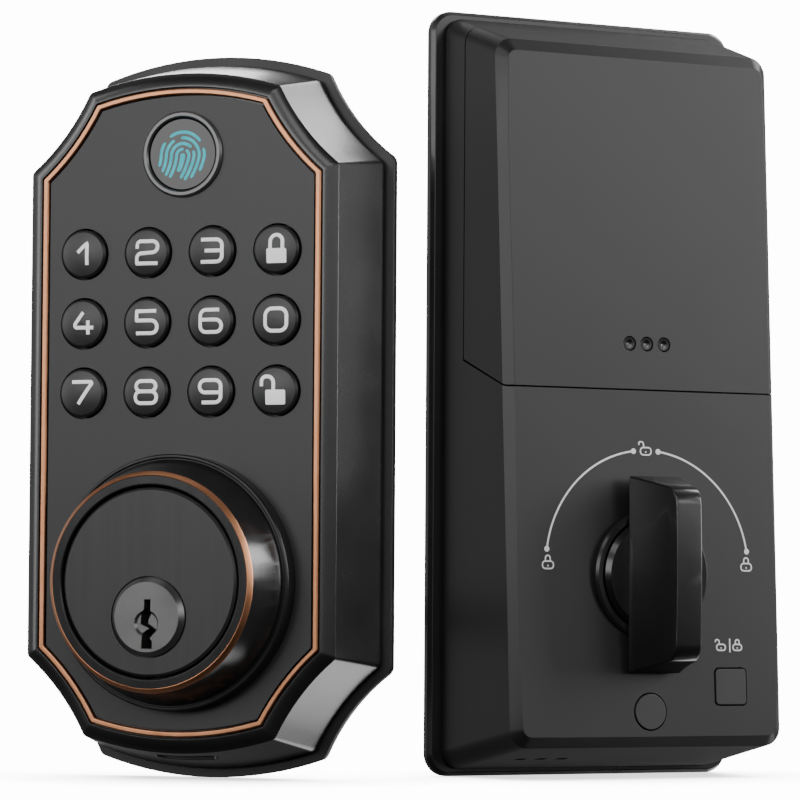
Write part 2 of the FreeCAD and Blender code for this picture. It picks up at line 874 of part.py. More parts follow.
def case_blank(inset, front_back, chamfer):
    """The drafted case, cut by the sloping front; inset thins it on every side."""
    y0 = flange_t
    y1 = front_n(0) + 6
    run = y1 - y0
    r = max(case_corner_r - inset, 1.0)
    start = rounded(-case_half_w + inset, case_half_w - inset, case_bottom + inset,
                    case_top - inset, r, -y0)
    half = case_half_w - inset - run * side_draft
    end = rounded(-half, half, case_bottom + inset + run * bottom_draft,
                  case_top - inset - run * top_draft, r, -y1)
    block = Part.makeLoft([start, end], True, True)
    low, high = -20.0, interior_h + 40.0
    ahead = side_prism([(-front_n(low) + front_back, low), (-front_n(high) + front_back, high),
                        (-80, high), (-80, low)], -60, 60)
    block = block.cut(ahead)
    if chamfer:
        front = max(block.Faces, key=lambda f: -f.CenterOfMass.y)
        block = block.makeChamfer(chamfer, front.Edges)
    return block


def cover_zone(clear):
    """The space that belongs to the battery cover, in front of and above its parting."""
    top = interior_h + 20
    return side_prism([(-cover_rear - clear, top), (-cover_rear - clear, cover_side_z + clear),
                       (-cover_low_y, cover_low_z + clear), (-60, cover_low_z + clear), (-60, top)],
                      -60, 60)


def case_cavity():
    return case_blank(case_wall, case_wall, 0)


def base_flange():
    plate = rounded_block(-flange_half_w, flange_half_w, 0, interior_h, flange_r, -flange_t, 0)
    front = max(plate.Faces, key=lambda f: -f.CenterOfMass.y)
    plate = plate.makeChamfer(flange_bevel, front.Edges)
    hole = rounded_block(-flange_half_w + flange_frame, flange_half_w - flange_frame, flange_frame,
                         interior_h - flange_frame, 3, -flange_t - 1, 1)
    return plate.cut(hole)


def case_neck():
    """The shadow line round the case, just in front of its flange."""
    y0 = -flange_t - neck_h
    inset = neck_inset
    band = rounded_block(-60, 60, -10, interior_h + 10, 2, y0, -flange_t + 1)
    return band.cut(rounded_block(-case_half_w + inset, case_half_w - inset, case_bottom + inset,
                                  case_top - inset, 3, y0 - 1, -flange_t + 2))


def case_bulkhead():
    """The floor of the battery bay, following the cover's parting line."""
    near = -flange_t - 1
    top = cover_side_z - bulkhead_drop
    web = side_prism([(near, top - bulkhead_t), (-cover_rear, top - bulkhead_t),
                      (-cover_low_y, cover_low_z - bulkhead_t), (-40, cover_low_z - bulkhead_t),
                      (-40, cover_low_z), (-cover_low_y, cover_low_z), (-cover_rear, top), (near, top)],
                     -60, 60)
    return web.common(case_blank(case_wall - 0.3, case_wall, 0))


def interior_housing():
    outer = case_blank(0, 0, front_chamfer)
    shell = outer.cut(case_cavity()).cut(case_neck()).cut(cover_zone(0))
    shell = joined([shell, case_bulkhead()])
    shell = shell.cut(rod(0, turn_z, turn_base_r + turn_gap, -60, -20))
    half = square_w / 2 + button_gap
    shell = shell.cut(rounded_block(square_x - half, square_x + half, square_z - half, square_z + half,
                                    square_r + button_gap, -60, -20))
    shell = shell.cut(rod(round_x, round_z, round_r + button_gap, -60, -20))
    for i in (-1, 0, 1):
        x = vent_x + i * vent_pitch
        shell = shell.cut(box(x - vent_w / 2, x + vent_w / 2, vent_y - vent_t / 2, vent_y + vent_t / 2,
                              0, vent_reach))
    return shell


def grip_places():
    return [grip_x + i * grip_pitch for i in (-1, 0, 1)]


def battery_cover():
    outer = case_blank(0, 0, front_chamfer)
    cover = outer.cut(case_cavity()).common(cover_zone(cover_gap))
    for x in grip_places():
        cover = cover.cut(rod(x, grip_z, grip_r, -40, -front_n(grip_z) + grip_pocket))
    return cover


def cover_grips():
    """Three dimpled studs in the cover that a thumb pushes against."""
    y = -front_n(grip_z) + grip_pocket
    r = grip_r - 0.01
    studs = [turned([(0, y - 0.6), (r - 0.7, y - 0.75), (r - 0.25, y - 0.75), (r, y - 0.5), (r, y), (0, y)],
                    x, grip_z) for x in grip_places()]
    return Part.makeCompound(studs)


def case_screw_places():
    return [(sx * case_screw_x, z) for sx in (-1, 1) for z in case_screw_rows]


def bolt_places():
    return [-post_spacing / 2, post_spacing / 2]


def mounting_plate():
    inset = flange_frame + mount_plate_clear
    plate = rounded_block(-flange_half_w + inset, flange_half_w - inset, inset, interior_h - inset, 3,
                          -mount_plate_t, 0)
    plate = plate.cut(rod(0, turn_z, bush_r, -mount_plate_t - 1, 1))
    for x in bolt_places():
        plate = plate.cut(rod(x, turn_z, bolt_hole_r, -mount_plate_t - 1, 1))
    x0, x1, z0, z1 = inner_window
    plate = plate.cut(rounded_block(x0, x1, z0, z1, 3, -mount_plate_t - 1, 1))
    for x, z in case_screw_places():
        plate = plate.cut(rod(x, z, case_screw_hole_r, -mount_plate_t - 1, 1))
    return plate


def through_bolts():
    """The two long bolts that clamp both halves to the door, cut short behind the plate."""
    bolts = []
    under = -mount_plate_t
    front = under - bolt_head_t
    for x in bolt_places():
        head = turned([(0, front), (bolt_head_r - bolt_edge, front), (bolt_head_r, front + bolt_edge),
                       (bolt_head_r, under), (0, under)], x, turn_z)
        shoulder = rod(x, turn_z, bolt_shoulder_r, under - 0.5, bolt_shoulder_end)
        shank = rod(x, turn_z, bolt_r, 0, bolt_end)
        slot = box(x - 5, x + 5, front - 1, front + bolt_slot_depth, turn_z - bolt_slot_w / 2,
                   turn_z + bolt_slot_w / 2)
        bolts.append(joined([head, shoulder, shank]).cut(slot))
    return Part.makeCompound(bolts)


# ---------- batteries ----------

def cell_places():
    return [(i - (cell_count - 1) / 2) * cell_pitch for i in range(cell_count)]


def battery_cells():
    """Four round cells, every other one upside down."""
    cells = []
    for i, x in enumerate(cell_places()):
        body_len = cell_len - cell_cap_h
        body = Part.makeCylinder(cell_r, body_len, point(x, -cell_y, cell_z))
        cap = Part.makeCylinder(cell_cap_r, cell_cap_h, point(x, -cell_y, cell_z + body_len))
        cell = joined([body, cap])
        if i % 2:
            cell.rotate(point(x, -cell_y, cell_z + cell_len / 2), along_y, 180)
        cells.append(cell)
    return Part.makeCompound(cells)


def battery_tray():
    half = cell_count * cell_pitch / 2 + tray_wall - 0.4
    z0 = cell_z - contact_gap - tray_wall
    z1 = cell_z + cell_len + contact_gap + tray_wall
    tray = box(-half, half, -tray_front, -flange_t, z0, z1)
    room = box(-half + tray_wall, half - tray_wall, -tray_front - 1, -flange_t - tray_floor,
               z0 + tray_wall, z1 - tray_wall)
    tray = tray.cut(room)
    floor_top = -cell_y + cell_r
    ribs = [box(x + cell_pitch / 2 - rib_w / 2, x + cell_pitch / 2 + rib_w / 2, floor_top - tray_floor,
                -flange_t - 1, cell_z + tray_end, cell_z + cell_len - tray_end)
            for x in cell_places()[:-1]]
    tray = joined([tray] + ribs)
    for x in cell_places():
        tray = tray.cut(Part.makeCylinder(cell_r + cell_clear, cell_len + 2 * contact_gap,
                                          point(x, -cell_y, cell_z - contact_gap)))
    return tray


def battery_contact(x, wall, step, foot_r):
    """A leaf on one end wall of the tray, with a cone that reaches the cell; step is its way in."""
    z0 = min(wall, wall + step * contact_t)
    leaf = box(x - contact_half_w, x + contact_half_w, -cell_y - contact_high, -cell_y + contact_low,
               z0, z0 + contact_t)
    cone = Part.makeCone(foot_r, contact_tip_r, contact_gap - contact_t,
                         point(x, -cell_y, wall + step * contact_t), point(0, 0, step))
    return joined([leaf, cone])


def battery_contacts():
    """A spring at the flat end of each cell and a button contact at its capped end."""
    pieces = []
    for i, x in enumerate(cell_places()):
        flat_is_low = i % 2 == 0
        pieces.append(battery_contact(x, cell_z - contact_gap, 1,
                                      spring_foot_r if flat_is_low else button_foot_r))
        pieces.append(battery_contact(x, cell_z + cell_len + contact_gap, -1,
                                      button_foot_r if flat_is_low else spring_foot_r))
    return Part.makeCompound(pieces)


# ---------- gear train ----------

def involute(angle):
    return math.tan(angle) - angle


def gear_outline(teeth, phase):
    """Corner points of a spur gear, one tooth centred at the phase angle."""
    pitch_r = gear_module * teeth / 2
    base_r = pitch_r * math.cos(math.radians(pressure_angle))
    tip_r = pitch_r + addendum * gear_module
    root_r = pitch_r - dedendum * gear_module
    half = (math.pi * gear_module / 2 - backlash) / 2 / pitch_r + involute(math.radians(pressure_angle))
    start_r = max(base_r, root_r + 0.05)
    flank = []
    for i in range(5):
        r = start_r + (tip_r - start_r) * i / 4
        flank.append((r, half - involute(math.acos(min(1.0, base_r / r)))))
    points = []
    for tooth in range(teeth):
        centre = phase + 2 * math.pi * tooth / teeth
        rising = [(root_r, -flank[0][1] - 0.02 / root_r)] + [(r, -a) for r, a in flank]
        falling = [(r, a) for r, a in reversed(flank)] + [(root_r, flank[0][1] + 0.02 / root_r)]
        for r, a in rising + falling:
            points.append((r * math.cos(centre + a), r * math.sin(centre + a)))
    return points


def gear(teeth, x, z, phase, y0, face):
    """A spur gear about the y line through (x, z), from y0 towards the door by its face."""
    ring = [(x + px, z + pz) for px, pz in gear_outline(teeth, phase)]
    return prism(ring, y0, y0 + face)


drive_distance = gear_module * (drive_teeth + pinion_teeth) / 2
motor_distance = gear_module * (wheel_teeth + motor_teeth) / 2
train_z = turn_z + math.sqrt(drive_distance ** 2 - train_x ** 2)
motor_x = train_x + motor_distance * math.cos(math.radians(motor_lean))
motor_z = train_z + motor_distance * math.sin(math.radians(motor_lean))
train_angle = math.atan2(train_z - turn_z, train_x)


def drive_gear():
    y0 = -drive_y - drive_face
    wheel = gear(drive_teeth, 0, turn_z, train_angle, y0, drive_face)
    hub = rod(0, turn_z, shaft_r + hub_w, y0 - hub_t, y0)
    wheel = joined([wheel, hub]).cut(rod(0, turn_z, shaft_r, y0 - hub_t - 1, y0 + drive_face + 1))
    for i in range(web_holes):
        a = 2 * math.pi * (i + 0.5) / web_holes
        wheel = wheel.cut(rod(web_hole_ring * math.cos(a), turn_z + web_hole_ring * math.sin(a),
                              web_hole_r, y0 - 1, y0 + drive_face + 1))
    return wheel


def compound_gear():
    wheel_y0 = -wheel_y - wheel_face
    pinion_y0 = -drive_y - drive_face
    wheel = gear(wheel_teeth, train_x, train_z, math.radians(motor_lean), wheel_y0, wheel_face)
    small = gear(pinion_teeth, train_x, train_z, train_angle + math.pi + math.pi / pinion_teeth,
                 pinion_y0, wheel_y0 - pinion_y0)
    body = joined([wheel, small])
    return body.cut(rod(train_x, train_z, axle_r + axle_fit, pinion_y0 - 1, 0))


def motor_pinion():
    y0 = -wheel_y - wheel_face
    small = gear(motor_teeth, motor_x, motor_z,
                 math.radians(motor_lean) + math.pi + math.pi / motor_teeth, y0, wheel_face)
    return joined([small, rod(motor_x, motor_z, motor_shaft_r, y0 - motor_stem, y0)])


def drive_motor():
    """The motor can, with a round clearance for the pinion's stem in its end."""
    y1 = -wheel_y - wheel_face - motor_gap
    y0 = y1 - motor_len
    port = motor_shaft_r + slide_gap
    return turned([(port, y1), (motor_r - motor_edge, y1), (motor_r, y1 - motor_edge),
                   (motor_r, y0 + motor_edge), (motor_r - motor_edge, y0), (0, y0),
                   (0, y1 - motor_face_sink), (port, y1 - motor_face_sink)], motor_x, motor_z)


def gearbox_frame():
    """The moulded bracket on the mounting plate that carries the axle and the motor."""
    x0, x1, z0, z1 = frame_span
    base_y = -mount_plate_t - frame_t
    plate = rounded_block(x0, x1, z0, z1, 3, base_y, -mount_plate_t)
    y1 = -wheel_y - wheel_face - motor_gap
    far = y1 - cup_far
    near = y1 - cup_near
    wall_x = motor_x + motor_r + bracket_gap
    cup = rod(motor_x, motor_z, motor_r + cup_wall, far, near)
    wall = box(wall_x, wall_x + bracket_t, far, base_y + 0.8, motor_z - bracket_half, motor_z + bracket_half)
    arm = box(motor_x + cup_near, wall_x + bracket_t, far, near, motor_z - arm_half, motor_z + arm_half)
    frame = joined([plate, cup, wall, arm])
    frame = frame.cut(rod(motor_x, motor_z, motor_r + 0.02, far - 1, y1))
    return frame.cut(rod(train_x, train_z, axle_r, base_y - 1, 0))


def gear_axle():
    return rod(train_x, train_z, axle_r, -drive_y - drive_face - axle_over, -mount_plate_t)


def spindle_bush():
    """A flanged bush in the mounting plate that the spindle runs in."""
    bore = shaft_r + spindle_wall + bush_fit
    front = -mount_plate_t - bush_flange_t
    return turned([(bore, 0), (bore, front), (bush_flange_r, front), (bush_flange_r, -mount_plate_t),
                   (bush_r, -mount_plate_t), (bush_r, 0)], 0, turn_z)


def drive_spindle():
    """The slotted sleeve on the shaft's end that takes the tailpiece."""
    y0 = -drive_y + spindle_end
    sleeve = rod(0, turn_z, shaft_r + spindle_wall, y0, -spindle_end)
    socket = rod(0, turn_z, shaft_r, y0 - 0.01, -spindle_root)
    half_t = tail_t / 2 + spindle_slot_clear
    half_w = tail_w / 2 + spindle_slot_clear
    slot = box(-half_t, half_t, -spindle_root - 0.1, 1, turn_z - half_w, turn_z + half_w)
    return sleeve.cut(socket).cut(slot)


# ---------- thumbturn ----------

def thumbturn_bezel():
    inner = turn_base_r + turn_gap
    ring = turned([(inner, -24), (inner, -bezel_front + 0.3), (inner + 0.3, -bezel_front),
                   (bezel_r - 0.5, -bezel_front), (bezel_r, -bezel_front + 0.5), (bezel_r, -24)], 0, turn_z)
    return ring.cut(case_blank(0, 0, 0))


def paddle_side():
    """The paddle seen from its side: tapered, with round front corners and a crowned front."""
    foot = -paddle_foot_y
    tip = -paddle_tip_y
    half_foot = paddle_foot_h / 2
    half_tip = paddle_tip_h / 2
    corners = [point(-20, foot, turn_z - half_foot), point(-20, tip, turn_z - half_tip),
               point(-20, tip - paddle_crown, turn_z), point(-20, tip, turn_z + half_tip),
               point(-20, foot, turn_z + half_foot)]
    edges = [Part.LineSegment(corners[0], corners[1]).toShape(),
             Part.Arc(corners[1], corners[2], corners[3]).toShape(),
             Part.LineSegment(corners[3], corners[4]).toShape(),
             Part.LineSegment(corners[4], corners[0]).toShape()]
    block = Part.Face(Part.Wire(edges)).extrude(point(40, 0, 0))
    ends = [e for e in block.Edges if e.Length > 39 and e.CenterOfMass.y < foot - 1]
    return block.makeFillet(paddle_corner_r, ends)


def paddle_plan():
    """The paddle seen from above: wide at its foot, with hollow flanks up to a narrow front."""
    foot = -paddle_foot_y
    tip = -paddle_tip_y - paddle_crown - 1
    half_foot = paddle_foot_w / 2
    half_tip = paddle_tip_w / 2
    low = turn_z - paddle_foot_h
    mid_x = (half_foot + half_tip) / 2 - paddle_hollow
    mid_y = (foot + tip) / 2
    right = [point(half_foot, foot, low), point(mid_x, mid_y, low), point(half_tip, tip, low)]
    left = [point(-half_tip, tip, low), point(-mid_x, mid_y, low), point(-half_foot, foot, low)]
    edges = [Part.Arc(*right).toShape(), Part.LineSegment(right[2], left[0]).toShape(),
             Part.Arc(*left).toShape(), Part.LineSegment(left[2], right[0]).toShape()]
    return Part.Face(Part.Wire(edges)).extrude(point(0, 0, 2 * paddle_foot_h))


def thumbturn():
    paddle = paddle_side().common(paddle_plan())
    rim = [e for e in paddle.Edges if e.BoundBox.YMax < -paddle_foot_y - 1.2 * paddle_corner_r
           or (e.BoundBox.XLength < 0.1 and e.BoundBox.YMax < -paddle_foot_y - 6)]
    paddle = paddle.makeFillet(paddle_edge, rim)
    seat = -front_n(turn_z) + case_wall + 0.5
    base = turned([(0, seat), (turn_base_r, seat), (turn_base_r, -turn_base_front + 0.9),
                   (turn_base_r - 0.9, -turn_base_front), (0, -turn_base_front)], 0, turn_z)
    shaft = rod(0, turn_z, shaft_r, seat - 1, -spindle_root)
    return joined([paddle, base, shaft])


# ---------- interior electronics and buttons ----------

def button_front(shape):
    """Trims a button parallel to the sloping front of the case, a little proud of it."""
    low = -20.0
    high = interior_h + 40.0
    ahead = side_prism([(-front_n(low) - button_proud, low), (-front_n(high) - button_proud, high),
                        (-80, high), (-80, low)], -60, 60)
    return shape.cut(ahead)


def button_stem(x, z, inner):
    """The stem that reaches from the back of a button towards its switch."""
    end = -main_board_y - board_t - switch_t - switch_nub_t - stem_gap
    return rod(x, z, button_stem_r, -inner, end)


def square_button():
    half = square_w / 2
    inner = front_n(square_z) - case_wall - 0.6
    cap = rounded_block(square_x - half, square_x + half, square_z - half, square_z + half, square_r,
                        -40, -inner)
    wide = half + button_skirt_w
    skirt = rounded_block(square_x - wide, square_x + wide, square_z - wide, square_z + wide, 1.2,
                          -inner, -inner + button_skirt)
    return joined([button_front(cap), skirt, button_stem(square_x, square_z, inner)])


def round_button():
    inner = front_n(round_z) - case_wall - 0.6
    cap = rod(round_x, round_z, round_r, -40, -inner)
    skirt = rod(round_x, round_z, round_r + button_skirt_w, -inner, -inner + button_skirt)
    return joined([button_front(cap), skirt, button_stem(round_x, round_z, inner)])


def main_board():
    return rounded_block(-main_board_half_w, main_board_half_w, main_board_z0, main_board_z1, 1.5,
                         -main_board_y - board_t, -main_board_y)


def board_posts():
    lowest = case_screw_rows[0]
    posts = [rod(x, z, board_post_r, -main_board_y, -mount_plate_t)
             for x, z in case_screw_places() if z == lowest]
    return Part.makeCompound(posts)


def button_switches():
    switches = []
    y1 = -main_board_y - board_t
    y0 = y1 - switch_t
    half = switch_w / 2
    for x, z in ((square_x, square_z), (round_x, round_z)):
        body = box(x - half, x + half, y0, y1, z - half, z + half)
        switches.append(joined([body, rod(x, z, switch_nub_r, y0 - switch_nub_t, y0)]))
    return Part.makeCompound(switches)


# ---------- write the parts ----------

def exterior_parts():
    parts = {
        "exterior_housing": exterior_housing(), "bezel_trim": bezel_trim(), "face_plate": face_plate(),
        "door_gasket": door_gasket(), "rear_plate": rear_plate(),
        "keypad_membrane": keypad_membrane(), "keypad_board": keypad_board(),
        "keypad_processor": keypad_processor(), "keypad_cable_socket": keypad_cable_socket(),
        "buzzer": buzzer(), "emergency_power_socket": emergency_power_socket(),
        "fingerprint_ring": fingerprint_ring(), "fingerprint_glass": fingerprint_glass(),
        "fingerprint_sensor": fingerprint_sensor(),
        "cylinder_collar": cylinder_collar(), "collar_trim_ring": collar_trim_ring(),
        "lock_cylinder": lock_cylinder(), "pin_stacks": pin_stacks(), "key_plug": key_plug(),
        "plug_clip": plug_clip(), "tailpiece": tailpiece(), "mounting_posts": mounting_posts(),
        "rear_plate_screws": rear_plate_screws(),
    }
    for name, x, z in key_places():
        parts[name] = key_cap(x, z)
    return parts


def interior_parts():
    return {
        "base_flange": base_flange(), "mounting_plate": mounting_plate(),
        "interior_housing": interior_housing(), "battery_cover": battery_cover(),
        "cover_grips": cover_grips(), "battery_tray": battery_tray(), "battery_cells": battery_cells(),
        "battery_contacts": battery_contacts(), "thumbturn": thumbturn(),
        "thumbturn_bezel": thumbturn_bezel(), "drive_gear": drive_gear(), "compound_gear": compound_gear(),
        "motor_pinion": motor_pinion(), "drive_motor": drive_motor(), "gearbox_frame": gearbox_frame(),
        "gear_axle": gear_axle(), "drive_spindle": drive_spindle(), "spindle_bush": spindle_bush(),
        "square_button": square_button(),
        "round_button": round_button(), "main_board": main_board(), "board_posts": board_posts(),
        "button_switches": button_switches(), "through_bolts": through_bolts(),
    }


def stood(shape, turn, place):
    shape.rotate(origin, point(0, 0, 1), turn)
    shape.translate(point(place[0], place[1], 0))
    return shape


def main():
    parts = {}
    for name, shape in exterior_parts().items():
        parts[name] = stood(shape, exterior_turn, exterior_place)
    for name, shape in interior_parts().items():
        parts[name] = stood(shape, interior_turn, interior_place)
    whole = Part.makeCompound(list(parts.values())).optimalBoundingBox(False, False)
    centre = point(-(whole.XMin + whole.XMax) / 2, -(whole.YMin + whole.YMax) / 2, 0)
    os.makedirs("parts", exist_ok=True)
    for name, shape in parts.items():
        shape.translate(centre)
        shape.exportStep("parts/" + name + ".step")
    print("nodes", len(parts), "shift", round(centre.x, 3), round(centre.y, 3),
          "size", round(whole.XLength, 2), round(whole.YLength, 2), round(whole.ZMax, 2))
    return parts, centre


main()
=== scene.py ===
import bpy
import bmesh
import json
import math
from mathutils import Matrix, Vector
from mathutils.bvhtree import BVHTree


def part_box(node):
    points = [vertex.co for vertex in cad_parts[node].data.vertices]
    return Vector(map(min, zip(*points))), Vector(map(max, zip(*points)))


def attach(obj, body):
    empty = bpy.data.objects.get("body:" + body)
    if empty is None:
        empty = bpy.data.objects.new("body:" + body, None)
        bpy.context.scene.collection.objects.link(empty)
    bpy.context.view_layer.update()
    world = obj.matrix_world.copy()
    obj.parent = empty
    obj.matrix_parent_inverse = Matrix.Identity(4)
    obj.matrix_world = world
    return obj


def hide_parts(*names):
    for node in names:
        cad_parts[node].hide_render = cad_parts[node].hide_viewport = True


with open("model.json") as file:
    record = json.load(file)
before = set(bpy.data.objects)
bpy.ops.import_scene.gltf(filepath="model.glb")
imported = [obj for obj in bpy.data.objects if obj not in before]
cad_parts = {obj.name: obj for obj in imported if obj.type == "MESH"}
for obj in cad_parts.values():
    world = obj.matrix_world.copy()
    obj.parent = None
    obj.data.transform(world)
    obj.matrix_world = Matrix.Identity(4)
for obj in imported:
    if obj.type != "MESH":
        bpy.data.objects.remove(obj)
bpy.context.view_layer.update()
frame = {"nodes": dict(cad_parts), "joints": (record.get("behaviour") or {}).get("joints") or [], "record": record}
mm = 0.001
print("frame loaded:", len(frame["nodes"]), "nodes")


# the two halves: x across, z up, y back to the door, as the joints give them

def halfPlane(jointName):
    joint = next(j for j in frame["joints"] if j["name"] == jointName)
    back = Vector(joint["axis"]).normalized()
    across = Vector((back.y, -back.x, 0))
    start = Vector(joint["pos_m"])
    start.z = 0
    return {"across": across, "back": back, "start": start, "axisZ": joint["pos_m"][2] / mm}


exteriorHalf = halfPlane("plug_turn")
interiorHalf = halfPlane("thumb_turn")


def place(half, x, y, z):
    return half["start"] + half["across"] * x * mm + half["back"] * y * mm + Vector((0, 0, z * mm))


def nodeCentre(half, node):
    low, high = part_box(node)
    away = (low + high) / 2 - half["start"]
    return away.dot(half["across"]) / mm, away.z / mm


def treeOf(nodes):
    corners, faces = [], []
    for node in nodes:
        mesh = frame["nodes"][node].data
        offset = len(corners)
        corners += [v.co.copy() for v in mesh.vertices]
        faces += [[offset + i for i in p.vertices] for p in mesh.polygons]
    return BVHTree.FromPolygons(corners, faces)


def surfaceDepth(half, tree, x, z):
    start = place(half, x, -90, z)
    hit = tree.ray_cast(start, half["back"])
    return None if hit[0] is None else (hit[0] - start).length / mm - 90


# materials

def newMaterial(name):
    material = bpy.data.materials.new(name)
    material.use_nodes = True
    tree = material.node_tree
    return material, tree, tree.nodes["Principled BSDF"]


def objectPoint(tree, stretch):
    spot = tree.nodes.new("ShaderNodeTexCoord")
    mapping = tree.nodes.new("ShaderNodeMapping")
    mapping.inputs["Scale"].default_value = stretch
    tree.links.new(spot.outputs["Object"], mapping.inputs["Vector"])
    return mapping.outputs["Vector"]


def noise(tree, point, scale, detail=3.0, roughness=0.55):
    node = tree.nodes.new("ShaderNodeTexNoise")
    node.inputs["Scale"].default_value = scale
    node.inputs["Detail"].default_value = detail
    node.inputs["Roughness"].default_value = roughness
    tree.links.new(point, node.inputs["Vector"])
    return node.outputs["Fac"]


def spread(tree, value, low, high):
    node = tree.nodes.new("ShaderNodeMapRange")
    node.inputs["From Min"].default_value = 0.3
    node.inputs["From Max"].default_value = 0.7
    node.inputs["To Min"].default_value = low
    node.inputs["To Max"].default_value = high
    tree.links.new(value, node.inputs["Value"])
    return node.outputs["Result"]


def tint(tree, value, dark, light):
    node = tree.nodes.new("ShaderNodeMix")
    node.data_type = "RGBA"
    node.inputs[6].default_value = (*dark, 1)
    node.inputs[7].default_value = (*light, 1)
    tree.links.new(value, node.inputs[0])
    return node.outputs[2]


def bump(tree, shader, value, height, strength=0.35):
    node = tree.nodes.new("ShaderNodeBump")
    node.inputs["Strength"].default_value = strength
    node.inputs["Distance"].default_value = height * mm
    tree.links.new(value, node.inputs["Height"])
    tree.links.new(node.outputs["Normal"], shader.inputs["Normal"])


def surfaceFinish(name, look):
    material, tree, shader = newMaterial(name)
    shader.inputs["Metallic"].default_value = look.get("metal", 0.0)
    shader.inputs["Specular IOR Level"].default_value = look.get("specular", 0.5)
    shader.inputs["Coat Weight"].default_value = look.get("coat", 0.0)
    shader.inputs["Coat Roughness"].default_value = look.get("coatRough", 0.08)
    stretch = look.get("stretch", (1, 1, 1))
    point = objectPoint(tree, stretch)
    cloud = noise(tree, point, look.get("cloud", 60.0))
    grain = noise(tree, point, look.get("grain", 2500.0), 2.0)
    dark, light = look["tones"]
    tree.links.new(tint(tree, spread(tree, cloud, 0, 1), dark, light), shader.inputs["Base Color"])
    low, high = look["rough"]
    tree.links.new(spread(tree, cloud, low, high), shader.inputs["Roughness"])
    if look.get("relief"):
        bump(tree, shader, grain, look["relief"])
    return material


finishes = {
    "casingEnamel": {"tones": ((0.0055, 0.0055, 0.006), (0.0075, 0.0075, 0.008)), "rough": (0.24, 0.3),
                     "specular": 0.62, "coat": 0.35, "coatRough": 0.16, "relief": 0.003, "grain": 1800},
    "copperBead": {"tones": ((0.6, 0.26, 0.13), (0.7, 0.33, 0.18)), "rough": (0.32, 0.4), "metal": 1.0,
                   "cloud": 220, "relief": 0.003},
    "brushedFace": {"tones": ((0.019, 0.019, 0.02), (0.021, 0.021, 0.022)), "rough": (0.37, 0.39),
                    "metal": 0.25, "specular": 0.6, "stretch": (1, 1, 0.02), "cloud": 700,
                    "grain": 2600, "relief": 0.0012},
    "gasketRubber": {"tones": ((0.006, 0.006, 0.006), (0.010, 0.010, 0.010)), "rough": (0.36, 0.46),
                     "relief": 0.01, "grain": 2600},
    "keyGloss": {"tones": ((0.010, 0.010, 0.0105), (0.013, 0.013, 0.0135)), "rough": (0.3, 0.36),
                 "relief": 0.002},
    "legendWhite": {"tones": ((0.86, 0.86, 0.86), (0.92, 0.92, 0.91)), "rough": (0.4, 0.5), "grain": 5000},
    "printGrey": {"tones": ((0.62, 0.62, 0.62), (0.72, 0.72, 0.72)), "rough": (0.45, 0.55), "grain": 5000},
    "readerRing": {"tones": ((0.11, 0.11, 0.112), (0.13, 0.13, 0.13)), "rough": (0.26, 0.32), "metal": 0.8},
    "readerBlack": {"tones": ((0.002, 0.002, 0.003), (0.004, 0.004, 0.005)), "rough": (0.05, 0.09)},
    "collarNickel": {"tones": ((0.022, 0.022, 0.023), (0.03, 0.03, 0.031)), "rough": (0.17, 0.22),
                     "metal": 0.7, "specular": 0.7, "stretch": (1, 1, 0.2), "cloud": 200, "relief": 0.002},
    "discNickel": {"tones": ((0.038, 0.038, 0.039), (0.044, 0.044, 0.045)), "rough": (0.32, 0.35),
                   "metal": 0.6, "stretch": (1, 1, 0.02), "cloud": 700, "grain": 2600, "relief": 0.0012},
    "plugNickel": {"tones": ((0.16, 0.16, 0.16), (0.2, 0.2, 0.198)), "rough": (0.2, 0.28), "metal": 0.9,
                   "relief": 0.002},
    "flangeEnamel": {"tones": ((0.008, 0.008, 0.0085), (0.011, 0.011, 0.0115)), "rough": (0.26, 0.34),
                     "coat": 0.3, "relief": 0.003},
    "smokedGloss": {"tones": ((0.0075, 0.0075, 0.008), (0.0085, 0.0085, 0.009)), "rough": (0.34, 0.36),
                    "relief": 0.002, "grain": 4200},
    "buttonGloss": {"tones": ((0.012, 0.012, 0.0125), (0.015, 0.015, 0.0155)), "rough": (0.36, 0.42),
                    "relief": 0.002, "grain": 4200},
    "studGloss": {"tones": ((0.004, 0.004, 0.004), (0.007, 0.007, 0.007)), "rough": (0.1, 0.16), "coat": 0.4},
    "thumbEnamel": {"tones": ((0.004, 0.004, 0.004), (0.006, 0.006, 0.006)), "rough": (0.2, 0.26),
                    "coat": 0.4, "relief": 0.002},
    "sheetZinc": {"tones": ((0.47, 0.47, 0.48), (0.52, 0.52, 0.525)), "rough": (0.36, 0.41),
                  "metal": 1.0, "cloud": 150, "relief": 0.006},
    "naturalNylon": {"tones": ((0.72, 0.7, 0.64), (0.8, 0.79, 0.74)), "rough": (0.4, 0.5), "relief": 0.01},
    "mouldedBlack": {"tones": ((0.015, 0.015, 0.016), (0.024, 0.024, 0.025)), "rough": (0.45, 0.6),
                     "relief": 0.015},
    "solderMask": {"tones": ((0.012, 0.1, 0.045), (0.018, 0.14, 0.06)), "rough": (0.25, 0.35), "coat": 0.4,
                   "cloud": 500, "relief": 0.008},
    "greySilicone": {"tones": ((0.16, 0.16, 0.165), (0.2, 0.2, 0.2)), "rough": (0.5, 0.6), "relief": 0.01},
    "cellSleeve": {"tones": ((0.03, 0.05, 0.09), (0.04, 0.065, 0.12)), "rough": (0.2, 0.3), "coat": 0.4},
    "sinteredSteel": {"tones": ((0.32, 0.31, 0.3), (0.44, 0.43, 0.41)), "rough": (0.35, 0.5), "metal": 1.0,
                      "relief": 0.01},
}
madeFinishes = {name: surfaceFinish(name, look) for name, look in finishes.items()}


